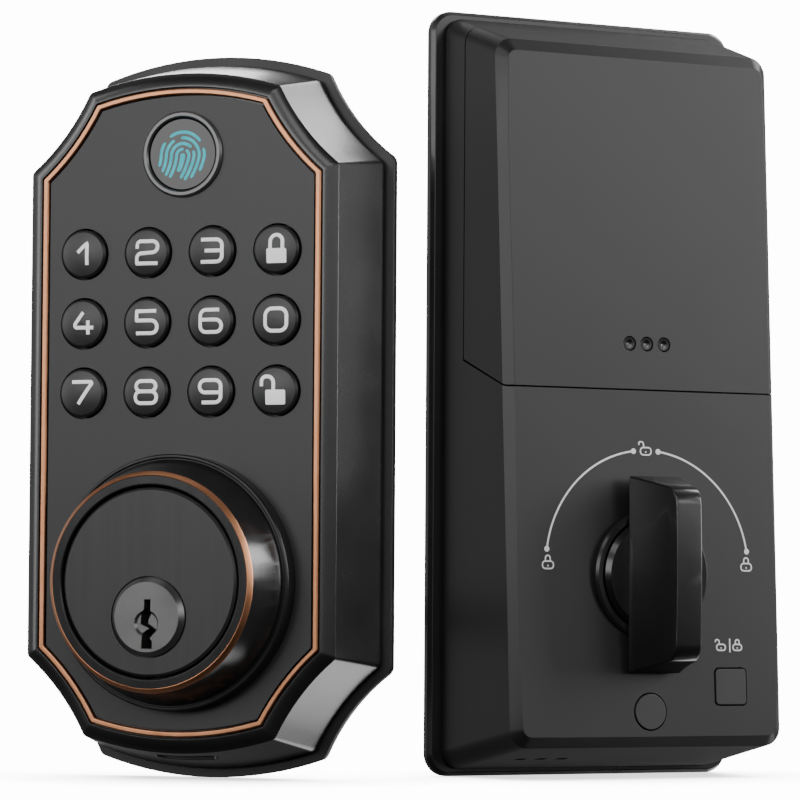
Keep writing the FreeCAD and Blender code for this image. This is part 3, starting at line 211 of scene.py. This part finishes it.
def litPrintMaterial():
    material, tree, shader = newMaterial("litRidges")
    point = objectPoint(tree, (1, 1, 1))
    patch = noise(tree, point, 900.0)
    glow = tint(tree, spread(tree, patch, 0, 1), (0.03, 0.5, 0.6), (0.06, 0.64, 0.74))
    shader.inputs["Base Color"].default_value = (0.002, 0.02, 0.025, 1)
    tree.links.new(glow, shader.inputs["Emission Color"])
    shader.inputs["Emission Strength"].default_value = 1.0
    shader.inputs["Specular IOR Level"].default_value = 0.1
    shader.inputs["Roughness"].default_value = 0.4
    return material


madeFinishes["litRidges"] = litPrintMaterial()

nodeFinish = {
    "brushedFace": ["face_plate"],
    "casingEnamel": ["exterior_housing"],
    "copperBead": ["bezel_trim", "collar_trim_ring"],
    "gasketRubber": ["door_gasket"],
    "readerRing": ["fingerprint_ring"],
    "readerBlack": ["fingerprint_glass"],
    "collarNickel": ["cylinder_collar", "thumbturn_bezel"],
    "discNickel": ["lock_cylinder"],
    "plugNickel": ["key_plug", "pin_stacks"],
    "flangeEnamel": ["base_flange"],
    "smokedGloss": ["interior_housing", "battery_cover"],
    "buttonGloss": ["square_button", "round_button"],
    "studGloss": ["cover_grips"],
    "thumbEnamel": ["thumbturn"],
    "sheetZinc": ["rear_plate", "mounting_plate", "plug_clip", "tailpiece", "mounting_posts",
                  "rear_plate_screws", "through_bolts", "board_posts", "battery_contacts", "drive_motor"],
    "naturalNylon": ["compound_gear", "spindle_bush", "keypad_cable_socket"],
    "mouldedBlack": ["battery_tray", "gearbox_frame", "keypad_processor", "buzzer",
                     "fingerprint_sensor", "button_switches", "emergency_power_socket"],
    "solderMask": ["keypad_board", "main_board"],
    "greySilicone": ["keypad_membrane"],
    "cellSleeve": ["battery_cells"],
    "sinteredSteel": ["drive_gear", "motor_pinion", "gear_axle", "drive_spindle"],
}
keyNames = sorted(n for n in frame["nodes"] if n.startswith("key_") and n != "key_plug")
nodeFinish["keyGloss"] = keyNames
finishOf = {node: finish for finish, nodes in nodeFinish.items() for node in nodes}
bodyOf = {node: body for body, nodes in frame["record"]["behaviour"]["bodies"].items() for node in nodes}
for node, shown in frame["nodes"].items():
    shown.data.materials.clear()
    shown.data.materials.append(madeFinishes[finishOf[node]])
print("materials made:", len(madeFinishes))


# smoother copies of the pieces that show

smoothing = {"weld": 0.002 * mm, "flat": math.radians(0.4), "sharp": math.radians(30), "segments": 2}


def smoothShade(work):
    for face in work.faces:
        face.smooth = True
    for edge in work.edges:
        edge.smooth = len(edge.link_faces) == 2 and edge.calc_face_angle(0) < smoothing["sharp"]


def smoothCopy(node, bevelWidth):
    mesh = frame["nodes"][node].data.copy()
    work = bmesh.new()
    work.from_mesh(mesh)
    bmesh.ops.remove_doubles(work, verts=work.verts, dist=smoothing["weld"])
    bmesh.ops.dissolve_limit(work, angle_limit=smoothing["flat"], verts=work.verts, edges=work.edges)
    smoothShade(work)
    work.to_mesh(mesh)
    work.free()
    piece = bpy.data.objects.new(node + "_shown", mesh)
    bpy.context.scene.collection.objects.link(piece)
    if bevelWidth:
        bevel = piece.modifiers.new("brokenEdges", "BEVEL")
        bevel.width = bevelWidth * mm
        bevel.segments = smoothing["segments"]
        bevel.limit_method = "ANGLE"
        bevel.angle_limit = smoothing["sharp"]
        bevel.use_clamp_overlap = True
        bevel.harden_normals = True
    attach(piece, bodyOf[node])
    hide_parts(node)


# node trees: what repeats in rows, and what follows a path

def nodeTree(name, sockets):
    tree = bpy.data.node_groups.new(name, "GeometryNodeTree")
    for label, kind in sockets:
        tree.interface.new_socket(label, in_out="INPUT", socket_type=kind)
    tree.interface.new_socket("Geometry", in_out="OUTPUT", socket_type="NodeSocketGeometry")
    return tree, tree.nodes.new("NodeGroupInput").outputs, tree.nodes.new("NodeGroupOutput").inputs


def endTree(tree, source, given, result):
    plain = tree.nodes.new("GeometryNodeRealizeInstances")
    coloured = tree.nodes.new("GeometryNodeSetMaterial")
    tree.links.new(source, plain.inputs["Geometry"])
    tree.links.new(plain.outputs["Geometry"], coloured.inputs["Geometry"])
    tree.links.new(given["Material"], coloured.inputs["Material"])
    tree.links.new(coloured.outputs["Geometry"], result["Geometry"])


def rowsTree():
    tree, given, result = nodeTree("repeatInRows", [
        ("Piece", "NodeSocketGeometry"), ("Columns", "NodeSocketInt"), ("Column Step", "NodeSocketVector"),
        ("Rows", "NodeSocketInt"), ("Row Step", "NodeSocketVector"), ("Material", "NodeSocketMaterial")])
    source = given["Piece"]
    for count, step in (("Columns", "Column Step"), ("Rows", "Row Step")):
        line = tree.nodes.new("GeometryNodeMeshLine")
        line.mode = "OFFSET"
        copies = tree.nodes.new("GeometryNodeInstanceOnPoints")
        plain = tree.nodes.new("GeometryNodeRealizeInstances")
        tree.links.new(given[count], line.inputs["Count"])
        tree.links.new(given[step], line.inputs["Offset"])
        tree.links.new(line.outputs["Mesh"], copies.inputs["Points"])
        tree.links.new(source, copies.inputs["Instance"])
        tree.links.new(copies.outputs["Instances"], plain.inputs["Geometry"])
        source = plain.outputs["Geometry"]
    endTree(tree, source, given, result)
    return tree


def pathTree():
    tree, given, result = nodeTree("strokeAlongPath", [
        ("Path", "NodeSocketGeometry"), ("Width", "NodeSocketFloat"), ("Material", "NodeSocketMaterial")])
    half = tree.nodes.new("ShaderNodeMath")
    half.operation = "MULTIPLY"
    half.inputs[1].default_value = 0.5
    ring = tree.nodes.new("GeometryNodeCurvePrimitiveCircle")
    ring.inputs["Resolution"].default_value = 12
    taper = tree.nodes.new("GeometryNodeInputRadius")
    sweep = tree.nodes.new("GeometryNodeCurveToMesh")
    sweep.inputs["Fill Caps"].default_value = True
    tree.links.new(given["Width"], half.inputs[0])
    tree.links.new(half.outputs[0], ring.inputs["Radius"])
    tree.links.new(given["Path"], sweep.inputs["Curve"])
    tree.links.new(ring.outputs["Curve"], sweep.inputs["Profile Curve"])
    tree.links.new(taper.outputs[0], sweep.inputs["Scale"])
    endTree(tree, sweep.outputs["Mesh"], given, result)
    return tree


repeatInRows = rowsTree()
strokeAlongPath = pathTree()


def madeBy(tree, data, values):
    holder = bpy.data.objects.new("maker", data)
    modifier = holder.modifiers.new(tree.name, "NODES")
    modifier.node_group = tree
    for item in tree.interface.items_tree:
        if item.in_out == "INPUT" and item.name in values:
            modifier[item.identifier] = values[item.name]
    bpy.context.scene.collection.objects.link(holder)
    mesh = bpy.data.meshes.new_from_object(holder.evaluated_get(bpy.context.evaluated_depsgraph_get()))
    holder.modifiers.remove(modifier)
    bpy.data.objects.remove(holder)
    return mesh


def islandsOf(work):
    left, islands = set(work.verts), []
    while left:
        reached = [left.pop()]
        for vert in reached:
            paintedShadow = {edge.other_vert(vert) for edge in vert.link_edges} & left
            left -= paintedShadow
            reached += paintedShadow
        islands.append(reached)
    return islands


def repeatedCopy(node, half, columns, rows):
    work = bmesh.new()
    work.from_mesh(frame["nodes"][node].data)
    bmesh.ops.remove_doubles(work, verts=work.verts, dist=smoothing["weld"])
    found = []
    for island in islandsOf(work):
        centre = sum((v.co for v in island), Vector()) / len(island)
        found.append((round((centre - half["start"]).dot(half["across"]) / mm, 1), round(centre.z / mm, 1),
                      centre, island))
    found.sort(key=lambda row: row[:2])
    if len(found) != columns * rows:
        raise ValueError(node + " has " + str(len(found)) + " pieces")
    first = found[0]
    columnStep = found[rows][2] - first[2] if columns > 1 else Vector()
    rowStep = found[1][2] - first[2] if rows > 1 else Vector()
    kept = set(first[3])
    bmesh.ops.delete(work, geom=[v for v in work.verts if v not in kept], context="VERTS")
    smoothShade(work)
    single = bpy.data.meshes.new(node + "_single")
    work.to_mesh(single)
    work.free()
    mesh = madeBy(repeatInRows, single, {
        "Columns": columns, "Column Step": tuple(columnStep), "Rows": rows, "Row Step": tuple(rowStep),
        "Material": madeFinishes[finishOf[node]]})
    piece = bpy.data.objects.new(node + "_shown", mesh)
    bpy.context.scene.collection.objects.link(piece)
    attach(piece, bodyOf[node])
    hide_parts(node)


repeatedCopy("cover_grips", interiorHalf, 3, 1)
repeatedCopy("rear_plate_screws", exteriorHalf, 2, 2)
print("rows made:", 2)

brokenEdges = {
    "exterior_housing": 0.3, "bezel_trim": 0.15, "face_plate": 0.05, "door_gasket": 0.3,
    "cylinder_collar": 0.08, "collar_trim_ring": 0.0, "lock_cylinder": 0.0, "key_plug": 0.08,
    "fingerprint_ring": 0.0, "fingerprint_glass": 0.0, "base_flange": 0.15, "interior_housing": 0.12,
    "battery_cover": 0.12, "thumbturn": 0.0, "thumbturn_bezel": 0.0, "square_button": 0.12,
    "round_button": 0.12, "tailpiece": 0.1, "mounting_plate": 0.1, "rear_plate": 0.1,
}
for key in keyNames:
    brokenEdges[key] = 0.0
for node, width in brokenEdges.items():
    smoothCopy(node, width)
print("smooth copies:", len(brokenEdges))


# legends and prints: strokes laid on the surface below them

def roundedPath(points, radius, closed=False, steps=5):
    count = len(points)
    path = []
    for i, corner in enumerate(points):
        here = Vector(corner[:2])
        if not closed and i in (0, count - 1):
            path.append(here)
            continue
        r = corner[2] if len(corner) > 2 else radius
        before = (Vector(points[i - 1][:2]) - here)
        after = (Vector(points[(i + 1) % count][:2]) - here)
        turn = before.angle(after)
        cut = min(r / math.tan(turn / 2), before.length * 0.5, after.length * 0.5)
        r = cut * math.tan(turn / 2)
        if r < 0.02:
            path.append(here)
            continue
        start = here + before.normalized() * cut
        end = here + after.normalized() * cut
        centre = here + (before.normalized() + after.normalized()).normalized() * math.hypot(cut, r)
        a = start - centre
        b = end - centre
        angle = a.angle_signed(b)
        for k in range(steps + 1):
            rotated = a.copy()
            rotated.rotate(Matrix.Rotation(-angle * k / steps, 2))
            path.append(centre + rotated)
    return path


def arcPath(x, z, radius, start, end, steps=24, squash=1.0):
    return [Vector((x + radius * math.cos(math.radians(a)), z + radius * squash * math.sin(math.radians(a))))
            for a in (start + (end - start) * i / steps for i in range(steps + 1))]


def strokeMesh(paths, width, roundEnds=False):
    curve = bpy.data.curves.new("strokes", "CURVE")
    curve.dimensions = "3D"
    for path, closed in paths:
        spline = curve.splines.new("POLY")
        spline.points.add(len(path) - 1)
        for target, source in zip(spline.points, path):
            target.co = (source.x, 0, source.y, 1)
        if roundEnds and not closed:
            spline.points[0].radius = 0.55
            spline.points[-1].radius = 0.55
        spline.use_cyclic_u = closed
        spline.use_smooth = True
    mesh = madeBy(strokeAlongPath, curve, {"Width": width, "Material": madeFinishes["legendWhite"]})
    mesh.materials.clear()
    bpy.data.curves.remove(curve)
    return mesh


def denser(path, step, closed=False):
    out = []
    ends = list(zip(path, path[1:] + ([path[0]] if closed else [])))
    for a, b in ends:
        parts = max(1, math.ceil((b - a).length / step))
        out += [a.lerp(b, i / parts) for i in range(parts)]
    if not closed:
        out.append(path[-1])
    return out


def filledMesh(outlinePoints, rings=4):
    work = bmesh.new()
    middle = sum(outlinePoints, Vector((0, 0))) / len(outlinePoints)
    loops = []
    for k in range(rings):
        share = 1 - k / rings
        loops.append([work.verts.new((middle.x + (p.x - middle.x) * share, -0.5 if k else 0.0,
                                      middle.y + (p.y - middle.y) * share)) for p in outlinePoints])
    hub = work.verts.new((middle.x, -0.5, middle.y))
    count = len(outlinePoints)
    for k in range(rings - 1):
        for i in range(count):
            j = (i + 1) % count
            work.faces.new((loops[k][i], loops[k][j], loops[k + 1][j], loops[k + 1][i]))
    for i in range(count):
        work.faces.new((loops[-1][i], loops[-1][(i + 1) % count], hub))
    mesh = bpy.data.meshes.new("patch")
    work.to_mesh(mesh)
    work.free()
    return mesh


def laidOn(name, meshes, half, centreX, centreZ, nodes, finish, body, relief=0.05):
    tree = treeOf(nodes)
    work = bmesh.new()
    for mesh in meshes:
        work.from_mesh(mesh)
        bpy.data.meshes.remove(mesh)
    bmesh.ops.remove_doubles(work, verts=work.verts, dist=0.0005)
    tallest = max(abs(v.co.y) for v in work.verts) or 1.0
    for vert in work.verts:
        x, z = centreX + vert.co.x, centreZ + vert.co.z
        depth = surfaceDepth(half, tree, x, z)
        depth = 0.0 if depth is None else depth
        vert.co = place(half, x, depth + vert.co.y / tallest * relief, z)
    bmesh.ops.recalc_face_normals(work, faces=work.faces)
    for face in work.faces:
        face.smooth = True
    joined = bpy.data.meshes.new(name)
    work.to_mesh(joined)
    work.free()
    joined.materials.append(madeFinishes[finish])
    piece = bpy.data.objects.new(name, joined)
    bpy.context.scene.collection.objects.link(piece)
    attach(piece, body)
    return piece


digit = {"halfWidth": 2.35, "halfHeight": 2.3, "stroke": 0.8, "bend": 1.25}


def digitPaths(name):
    w, h, r = digit["halfWidth"], digit["halfHeight"], digit["bend"]
    shapes = {
        "1": [([(-1.35, h - 2.0), (0.75, h), (0.75, -h)], 0.0, False)],
        "2": [([(-w + 0.1, h - 1.5), (-w + 0.1, h), (w, h), (w, 0.0), (-w, -0.25), (-w, -h, 0.02),
                (w, -h)], r, False)],
        "3": [([(-w, h), (w, h), (w, -h), (-w, -h)], r, False), ([(-w + 0.9, 0), (w, 0)], 0, False)],
        "4": [([(w - 2.3, h), (-w, -h + 1.4), (w, -h + 1.4)], 0.5, False),
              ([(w - 1.2, 0.6), (w - 1.2, -h)], 0, False)],
        "5": [([(w - 0.2, h), (-w + 0.1, h, 0.02), (-w + 0.1, 0.35, 0.02), (w, 0.35), (w, -h),
                (-w, -h)], r, False)],
        "6": [([(w - 0.5, h), (-w, h), (-w, -h), (w, -h), (w, 0.25), (-w, 0.25)], r, False)],
        "7": [([(-w, h), (w, h, 0.3), (-0.9, -h)], 0.3, False)],
        "8": [([(-w + 0.15, h), (w - 0.15, h), (w - 0.15, 0.15), (-w + 0.15, 0.15)], r * 0.9, True),
              ([(-w, 0.15), (w, 0.15), (w, -h), (-w, -h)], r * 0.9, True)],
        "9": [([(-w + 0.5, -h), (w, -h), (w, h), (-w, h), (-w, -0.25), (w, -0.25)], r, False)],
        "0": [([(-w, h), (w, h), (w, -h), (-w, -h)], r * 1.2, True)],
    }
    return [(denser(roundedPath(points, radius, closed), 0.5, closed), closed)
            for points, radius, closed in shapes[name]]


def squareOutline(x0, x1, z0, z1, radius):
    return denser(roundedPath([(x0, z0), (x1, z0), (x1, z1), (x0, z1)], radius, True, 3), 0.6, True)


padlock = {"bodyHalf": 2.2, "bodyTop": 0.15, "bodyLow": -2.9, "shackleHalf": 1.35, "shackleTop": 2.9,
           "stroke": 0.8, "slide": -1.75}


def padlockMeshes(isOpen):
    p = padlock
    x0 = p["slide"] - p["shackleHalf"] if isOpen else -p["shackleHalf"]
    x1 = x0 + 2 * p["shackleHalf"]
    lowLeft = 0.9 if isOpen else p["bodyTop"] - 0.1
    lowRight = p["bodyTop"] - 0.1
    bow = roundedPath([(x0, lowLeft), (x0, p["shackleTop"]), (x1, p["shackleTop"]), (x1, lowRight)],
                      p["shackleHalf"], False)
    block = filledMesh(squareOutline(-p["bodyHalf"], p["bodyHalf"], p["bodyLow"], p["bodyTop"], 0.35))
    return [strokeMesh([(denser(bow, 0.5), False)], p["stroke"]), block]


for key in keyNames:
    x, z = nodeCentre(exteriorHalf, key)
    label = key.split("_")[1]
    if label in ("lock", "unlock"):
        shapes = padlockMeshes(label == "unlock")
    else:
        shapes = [strokeMesh(digitPaths(label), digit["stroke"])]
    laidOn("legend_" + label, shapes, exteriorHalf, x - 0.1, z, [key], "legendWhite", bodyOf[key])
print("key legends laid")


# fingerprint ridges under the reader's glass

ridge = {"pitch": 1.16, "stroke": 0.66, "core": -0.4, "reach": 5.7}


def ridgePaths():
    paths = []
    gaps = {1: [(62, 84)], 2: [(25, 42)], 3: [(100, 118)], 4: [(20, 36), (128, 140)], 5: [(30, 150)]}
    for k in range(0, 6):
        r = 0.25 + k * ridge["pitch"]
        tail = {0: 3.2, 1: 4.6, 2: 5.0, 3: 4.6, 4: 3.2, 5: 0.0}[k]
        lean = 0.32
        def spot(t):
            if t < 0:
                return Vector((r + t * lean * 0.55 + t * t * -0.05, t + ridge["core"]))
            if t > 180:
                d = t - 180
                return Vector((-r - d * lean * 0.25 - d * d * 0.06, -d + ridge["core"]))
            turn = math.radians(t)
            return Vector((r * math.cos(turn), r * 1.02 * math.sin(turn) + ridge["core"]))
        run = []
        steps = [-(tail - i * 0.4) for i in range(int(tail / 0.4))] + [i * 6 for i in range(31)]
        steps += [180 + i * 0.4 for i in range(1, int(tail / 0.4) + 1)]
        for t in steps:
            broken = any(low < t < high for low, high in gaps.get(k, []))
            inside = spot(t).length < ridge["reach"] + 0.2
            if broken or not inside:
                if len(run) > 2:
                    paths.append((run, False))
                run = []
                continue
            run.append(spot(t))
        if len(run) > 2:
            paths.append((run, False))
    return paths


readerX, readerZ = nodeCentre(exteriorHalf, "fingerprint_glass")
laidOn("reader_ridges", [strokeMesh(ridgePaths(), ridge["stroke"], True)], exteriorHalf, readerX, readerZ,
       ["fingerprint_glass"], "litRidges", "fixed", 0.03)


# printed marks round the thumbturn

def outlinedPadlock(x, z, size, isOpen):
    w, low, top = 1.15 * size, -1.05 * size, 0.3 * size
    corners = [(x - w, z + low), (x + w, z + low), (x + w, z + top), (x - w, z + top)]
    box = roundedPath(corners, 0.6 * size, True)
    half = 0.5 * size
    side = -0.95 * size if isOpen else 0.0
    lift = 0.45 * size if isOpen else 0
    crown = z + 1.35 * size
    bow = roundedPath([(x + side - half, z + top + lift), (x + side - half, crown),
                       (x + side + half, crown), (x + side + half, z + top)], half, False)
    return [(denser(box, 0.4, True), True), (denser(bow, 0.4), False),
            ([Vector((x, z + low * 0.35)), Vector((x, z + low * 0.62))], False)]


dial = {"centreUp": 1.3, "radius": 25.0, "stroke": 0.42, "endAngle": 9, "gapAngle": 83, "dot": 0.62,
        "iconStroke": 0.32, "iconSize": 1.15, "iconInset": 0.5, "iconUp": 1.0, "topIconUp": 0.3}


buttonMarks = {"openX": -1.9, "closedX": 2.2, "up": 8.7, "size": 0.95, "barX": 0.3, "barLow": 7.3,
               "barHigh": 10.2}


def dialMeshes():
    z = interiorHalf["axisZ"] + dial["centreUp"]
    r = dial["radius"]
    meshes = []
    arcs = []
    rightArc = (dial["endAngle"], dial["gapAngle"])
    leftArc = (180 - dial["gapAngle"], 180 - dial["endAngle"])
    for start, end in (rightArc, leftArc):
        arcs.append((denser(arcPath(0, z, r, start, end, 40), 0.6), False))
        for a in (start, end):
            turn = math.radians(a)
            dotPath = arcPath(r * math.cos(turn), z + r * math.sin(turn), dial["dot"], 0, 330, 11)
            meshes.append(filledMesh(dotPath, 2))
    meshes.append(strokeMesh(arcs, dial["stroke"]))
    icons = outlinedPadlock(0, z + r + dial["topIconUp"], dial["iconSize"], True)
    for side in (-1, 1):
        icons += outlinedPadlock(side * (r - dial["iconInset"]), z + dial["iconUp"], dial["iconSize"], False)
    b = buttonMarks
    squareX, squareZ = nodeCentre(interiorHalf, "square_button")
    icons += outlinedPadlock(squareX + b["openX"], squareZ + b["up"], b["size"], True)
    icons += outlinedPadlock(squareX + b["closedX"], squareZ + b["up"], b["size"], False)
    bar = [Vector((squareX + b["barX"], squareZ + z0)) for z0 in (b["barLow"], b["barHigh"])]
    icons.append((denser(bar, 0.5), False))
    meshes.append(strokeMesh(icons, dial["iconStroke"]))
    return meshes


laidOn("dial_marks", dialMeshes(), interiorHalf, 0, 0, ["interior_housing"], "printGrey", "fixed",
       0.03)
print("prints laid")


# stage, lights and camera

def stagePlane(name, corners, material):
    mesh = bpy.data.meshes.new(name)
    mesh.from_pydata([Vector(c) for c in corners], [], [tuple(range(len(corners)))])
    mesh.materials.append(material)
    plane = bpy.data.objects.new(name, mesh)
    bpy.context.scene.collection.objects.link(plane)
    return plane


def paleWithPaintedShadow(name, glow, shadowReach):
    material = bpy.data.materials.new(name)
    material.use_nodes = True
    tree = material.node_tree
    tree.nodes.remove(tree.nodes["Principled BSDF"])
    emission = tree.nodes.new("ShaderNodeEmission")
    # ambient occlusion dims the glow close to the lock: this is a painted contact shadow on the floor and walls,
    # not a cast one
    paintedShadow = tree.nodes.new("ShaderNodeAmbientOcclusion")
    paintedShadow.inputs["Distance"].default_value = shadowReach
    soft = tree.nodes.new("ShaderNodeMapRange")
    soft.inputs["From Min"].default_value = 0.15
    soft.inputs["To Min"].default_value = 0.12 * glow
    soft.inputs["To Max"].default_value = glow
    tree.links.new(paintedShadow.outputs["AO"], soft.inputs["Value"])
    tree.links.new(soft.outputs["Result"], emission.inputs["Strength"])
    tree.links.new(emission.outputs[0], tree.nodes["Material Output"].inputs["Surface"])
    return material


studio = {"reach": 1.6, "wall": 1.55, "low": -0.5, "high": 2.2, "glow": 14.0, "shadowReach": 0.03}


def wallCorners(turn):
    ends = [(-studio["reach"], studio["wall"]), (studio["reach"], studio["wall"])]
    spin = Matrix.Rotation(math.radians(turn), 2)
    (x0, y0), (x1, y1) = [tuple(spin @ Vector(end)) for end in ends]
    low, high = studio["low"], studio["high"]
    return [(x0, y0, low), (x1, y1, low), (x1, y1, high), (x0, y0, high)]


reach = studio["reach"]
stageShapes = {
    "floor": [(-reach, -reach, 0), (reach, -reach, 0), (reach, reach, 0), (-reach, reach, 0)],
    "backdrop": wallCorners(0), "frontdrop": wallCorners(180),
    "leftdrop": wallCorners(90), "rightdrop": wallCorners(-90),
}
stage = [stagePlane(name, corners, paleWithPaintedShadow(name + "Pale", studio["glow"], studio["shadowReach"]))
         for name, corners in stageShapes.items()]
for plane in stage:  # seen, but neither lights the lock nor shows in it: the world does that
    plane.visible_diffuse = False
    plane.visible_glossy = False
    plane.visible_shadow = False


def softLight(name, spot, target, width, height, power):
    light = bpy.data.lights.new(name, "AREA")
    light.shape = "RECTANGLE"
    light.size = width
    light.size_y = height
    light.energy = power
    lamp = bpy.data.objects.new(name, light)
    lamp.location = spot
    lamp.rotation_euler = (Vector(target) - Vector(spot)).to_track_quat("-Z", "Y").to_euler()
    lamp.visible_camera = False
    bpy.context.scene.collection.objects.link(lamp)
    return lamp


softBoxes = {
    "rightStrip": ((0.75, -0.05, 0.3), 0.16, 0.5, 4),
    "frontRight": ((0.95, -0.64, 0.5), 0.4, 0.35, 0.9),
    "frontLeft": ((-0.71, -0.9, 0.32), 0.5, 0.4, 1.9),
    "backHigh": ((0.5, 0.55, 0.72), 0.42, 0.4, 3.0),
    "backLow": ((0.5, 0.58, -0.55), 0.45, 0.45, 1.9),
    "exteriorTop": ((-0.1, 0.36, 0.33), 0.14, 0.2, 0.44),
    "leftStrip": ((-0.7, -0.2, 0.3), 0.2, 0.7, 1.5),
    "frontHigh": ((-0.15, -1.1, 1.0), 0.8, 0.4, 2.5),
}
lockMiddle = (0, 0, 0.08)
for name, (spot, width, height, power) in softBoxes.items():
    softLight(name, spot, lockMiddle, width, height, power)
collarLight = softLight("collarStrip", (0.85, 0.32, 0.27), lockMiddle, 0.32, 0.34, 5.5)
collarPieces = bpy.data.collections.new("litByCollarStrip")  # it would streak the casing wall beside it
for node in ("cylinder_collar", "collar_trim_ring"):
    collarPieces.objects.link(bpy.data.objects[node + "_shown"])
collarLight.light_linking.receiver_collection = collarPieces
fill = softLight("frontFill", (-0.1, -1.2, 0.5), lockMiddle, 0.6, 0.4, 9)
fill.visible_glossy = False  # lifts the white prints and leaves the gloss as it is

skyBehind = [(-1, 0.1), (-0.3, 0.1), (-0.12, 0.3), (0, 0.45), (0.15, 0.5), (0.3, 0.45), (0.45, 0.25),
             (0.6, 0.12), (0.85, 0.3), (1, 1.2)]
skyAhead = [(-1, 0.01), (-0.15, 0.02), (-0.04, 0.12), (0.02, 0.4), (0.1, 1.1), (0.17, 1.5), (0.3, 1.3),
            (0.45, 0.5), (0.6, 0.12), (1, 0.05)]


def heightRamp(tree, height, stops):
    ramp = tree.nodes.new("ShaderNodeValToRGB")
    while len(ramp.color_ramp.elements) < len(stops):
        ramp.color_ramp.elements.new(0.5)
    for element, (at, value) in zip(ramp.color_ramp.elements, stops):
        element.position = at / 2 + 0.5
        element.color = (value, value, value, 1)
    tree.links.new(height, ramp.inputs[0])
    return ramp.outputs[0]


def worldGradient():
    world = bpy.data.worlds.new("studio")
    world.use_nodes = True
    tree = world.node_tree
    spot = tree.nodes.new("ShaderNodeTexCoord")
    split = tree.nodes.new("ShaderNodeSeparateXYZ")
    tree.links.new(spot.outputs["Generated"], split.inputs["Vector"])
    half = tree.nodes.new("ShaderNodeMath")
    half.operation = "MULTIPLY_ADD"
    half.inputs[1].default_value = 0.5
    half.inputs[2].default_value = 0.5
    tree.links.new(split.outputs["Z"], half.inputs[0])
    ahead = heightRamp(tree, half.outputs[0], skyAhead)
    behind = heightRamp(tree, half.outputs[0], skyBehind)
    side = tree.nodes.new("ShaderNodeMapRange")
    side.inputs["From Min"].default_value = -0.25
    side.inputs["From Max"].default_value = 0.35
    tree.links.new(split.outputs["Y"], side.inputs["Value"])
    blend = tree.nodes.new("ShaderNodeMix")
    blend.data_type = "RGBA"
    tree.links.new(side.outputs["Result"], blend.inputs[0])
    tree.links.new(ahead, blend.inputs[6])
    tree.links.new(behind, blend.inputs[7])
    tree.links.new(blend.outputs[2], tree.nodes["Background"].inputs["Color"])
    bpy.context.scene.world = world


worldGradient()

view = {"spot": (-2.2, -871.3, 36.4), "tilt": 0.050, "roll": 0.0067, "lens": 184.3}


def setCamera():
    camera = bpy.data.cameras.new("viewpoint")
    camera.lens = view["lens"]
    camera.sensor_width = 36
    camera.clip_start = 0.01
    holder = bpy.data.objects.new("viewpoint", camera)
    turn = Matrix.Rotation(math.radians(90) + view["tilt"], 4, "X") @ Matrix.Rotation(view["roll"], 4, "Z")
    holder.matrix_world = Matrix.Translation(Vector(view["spot"]) * mm) @ turn
    bpy.context.scene.collection.objects.link(holder)
    bpy.context.scene.camera = holder


setCamera()
print("stage set")
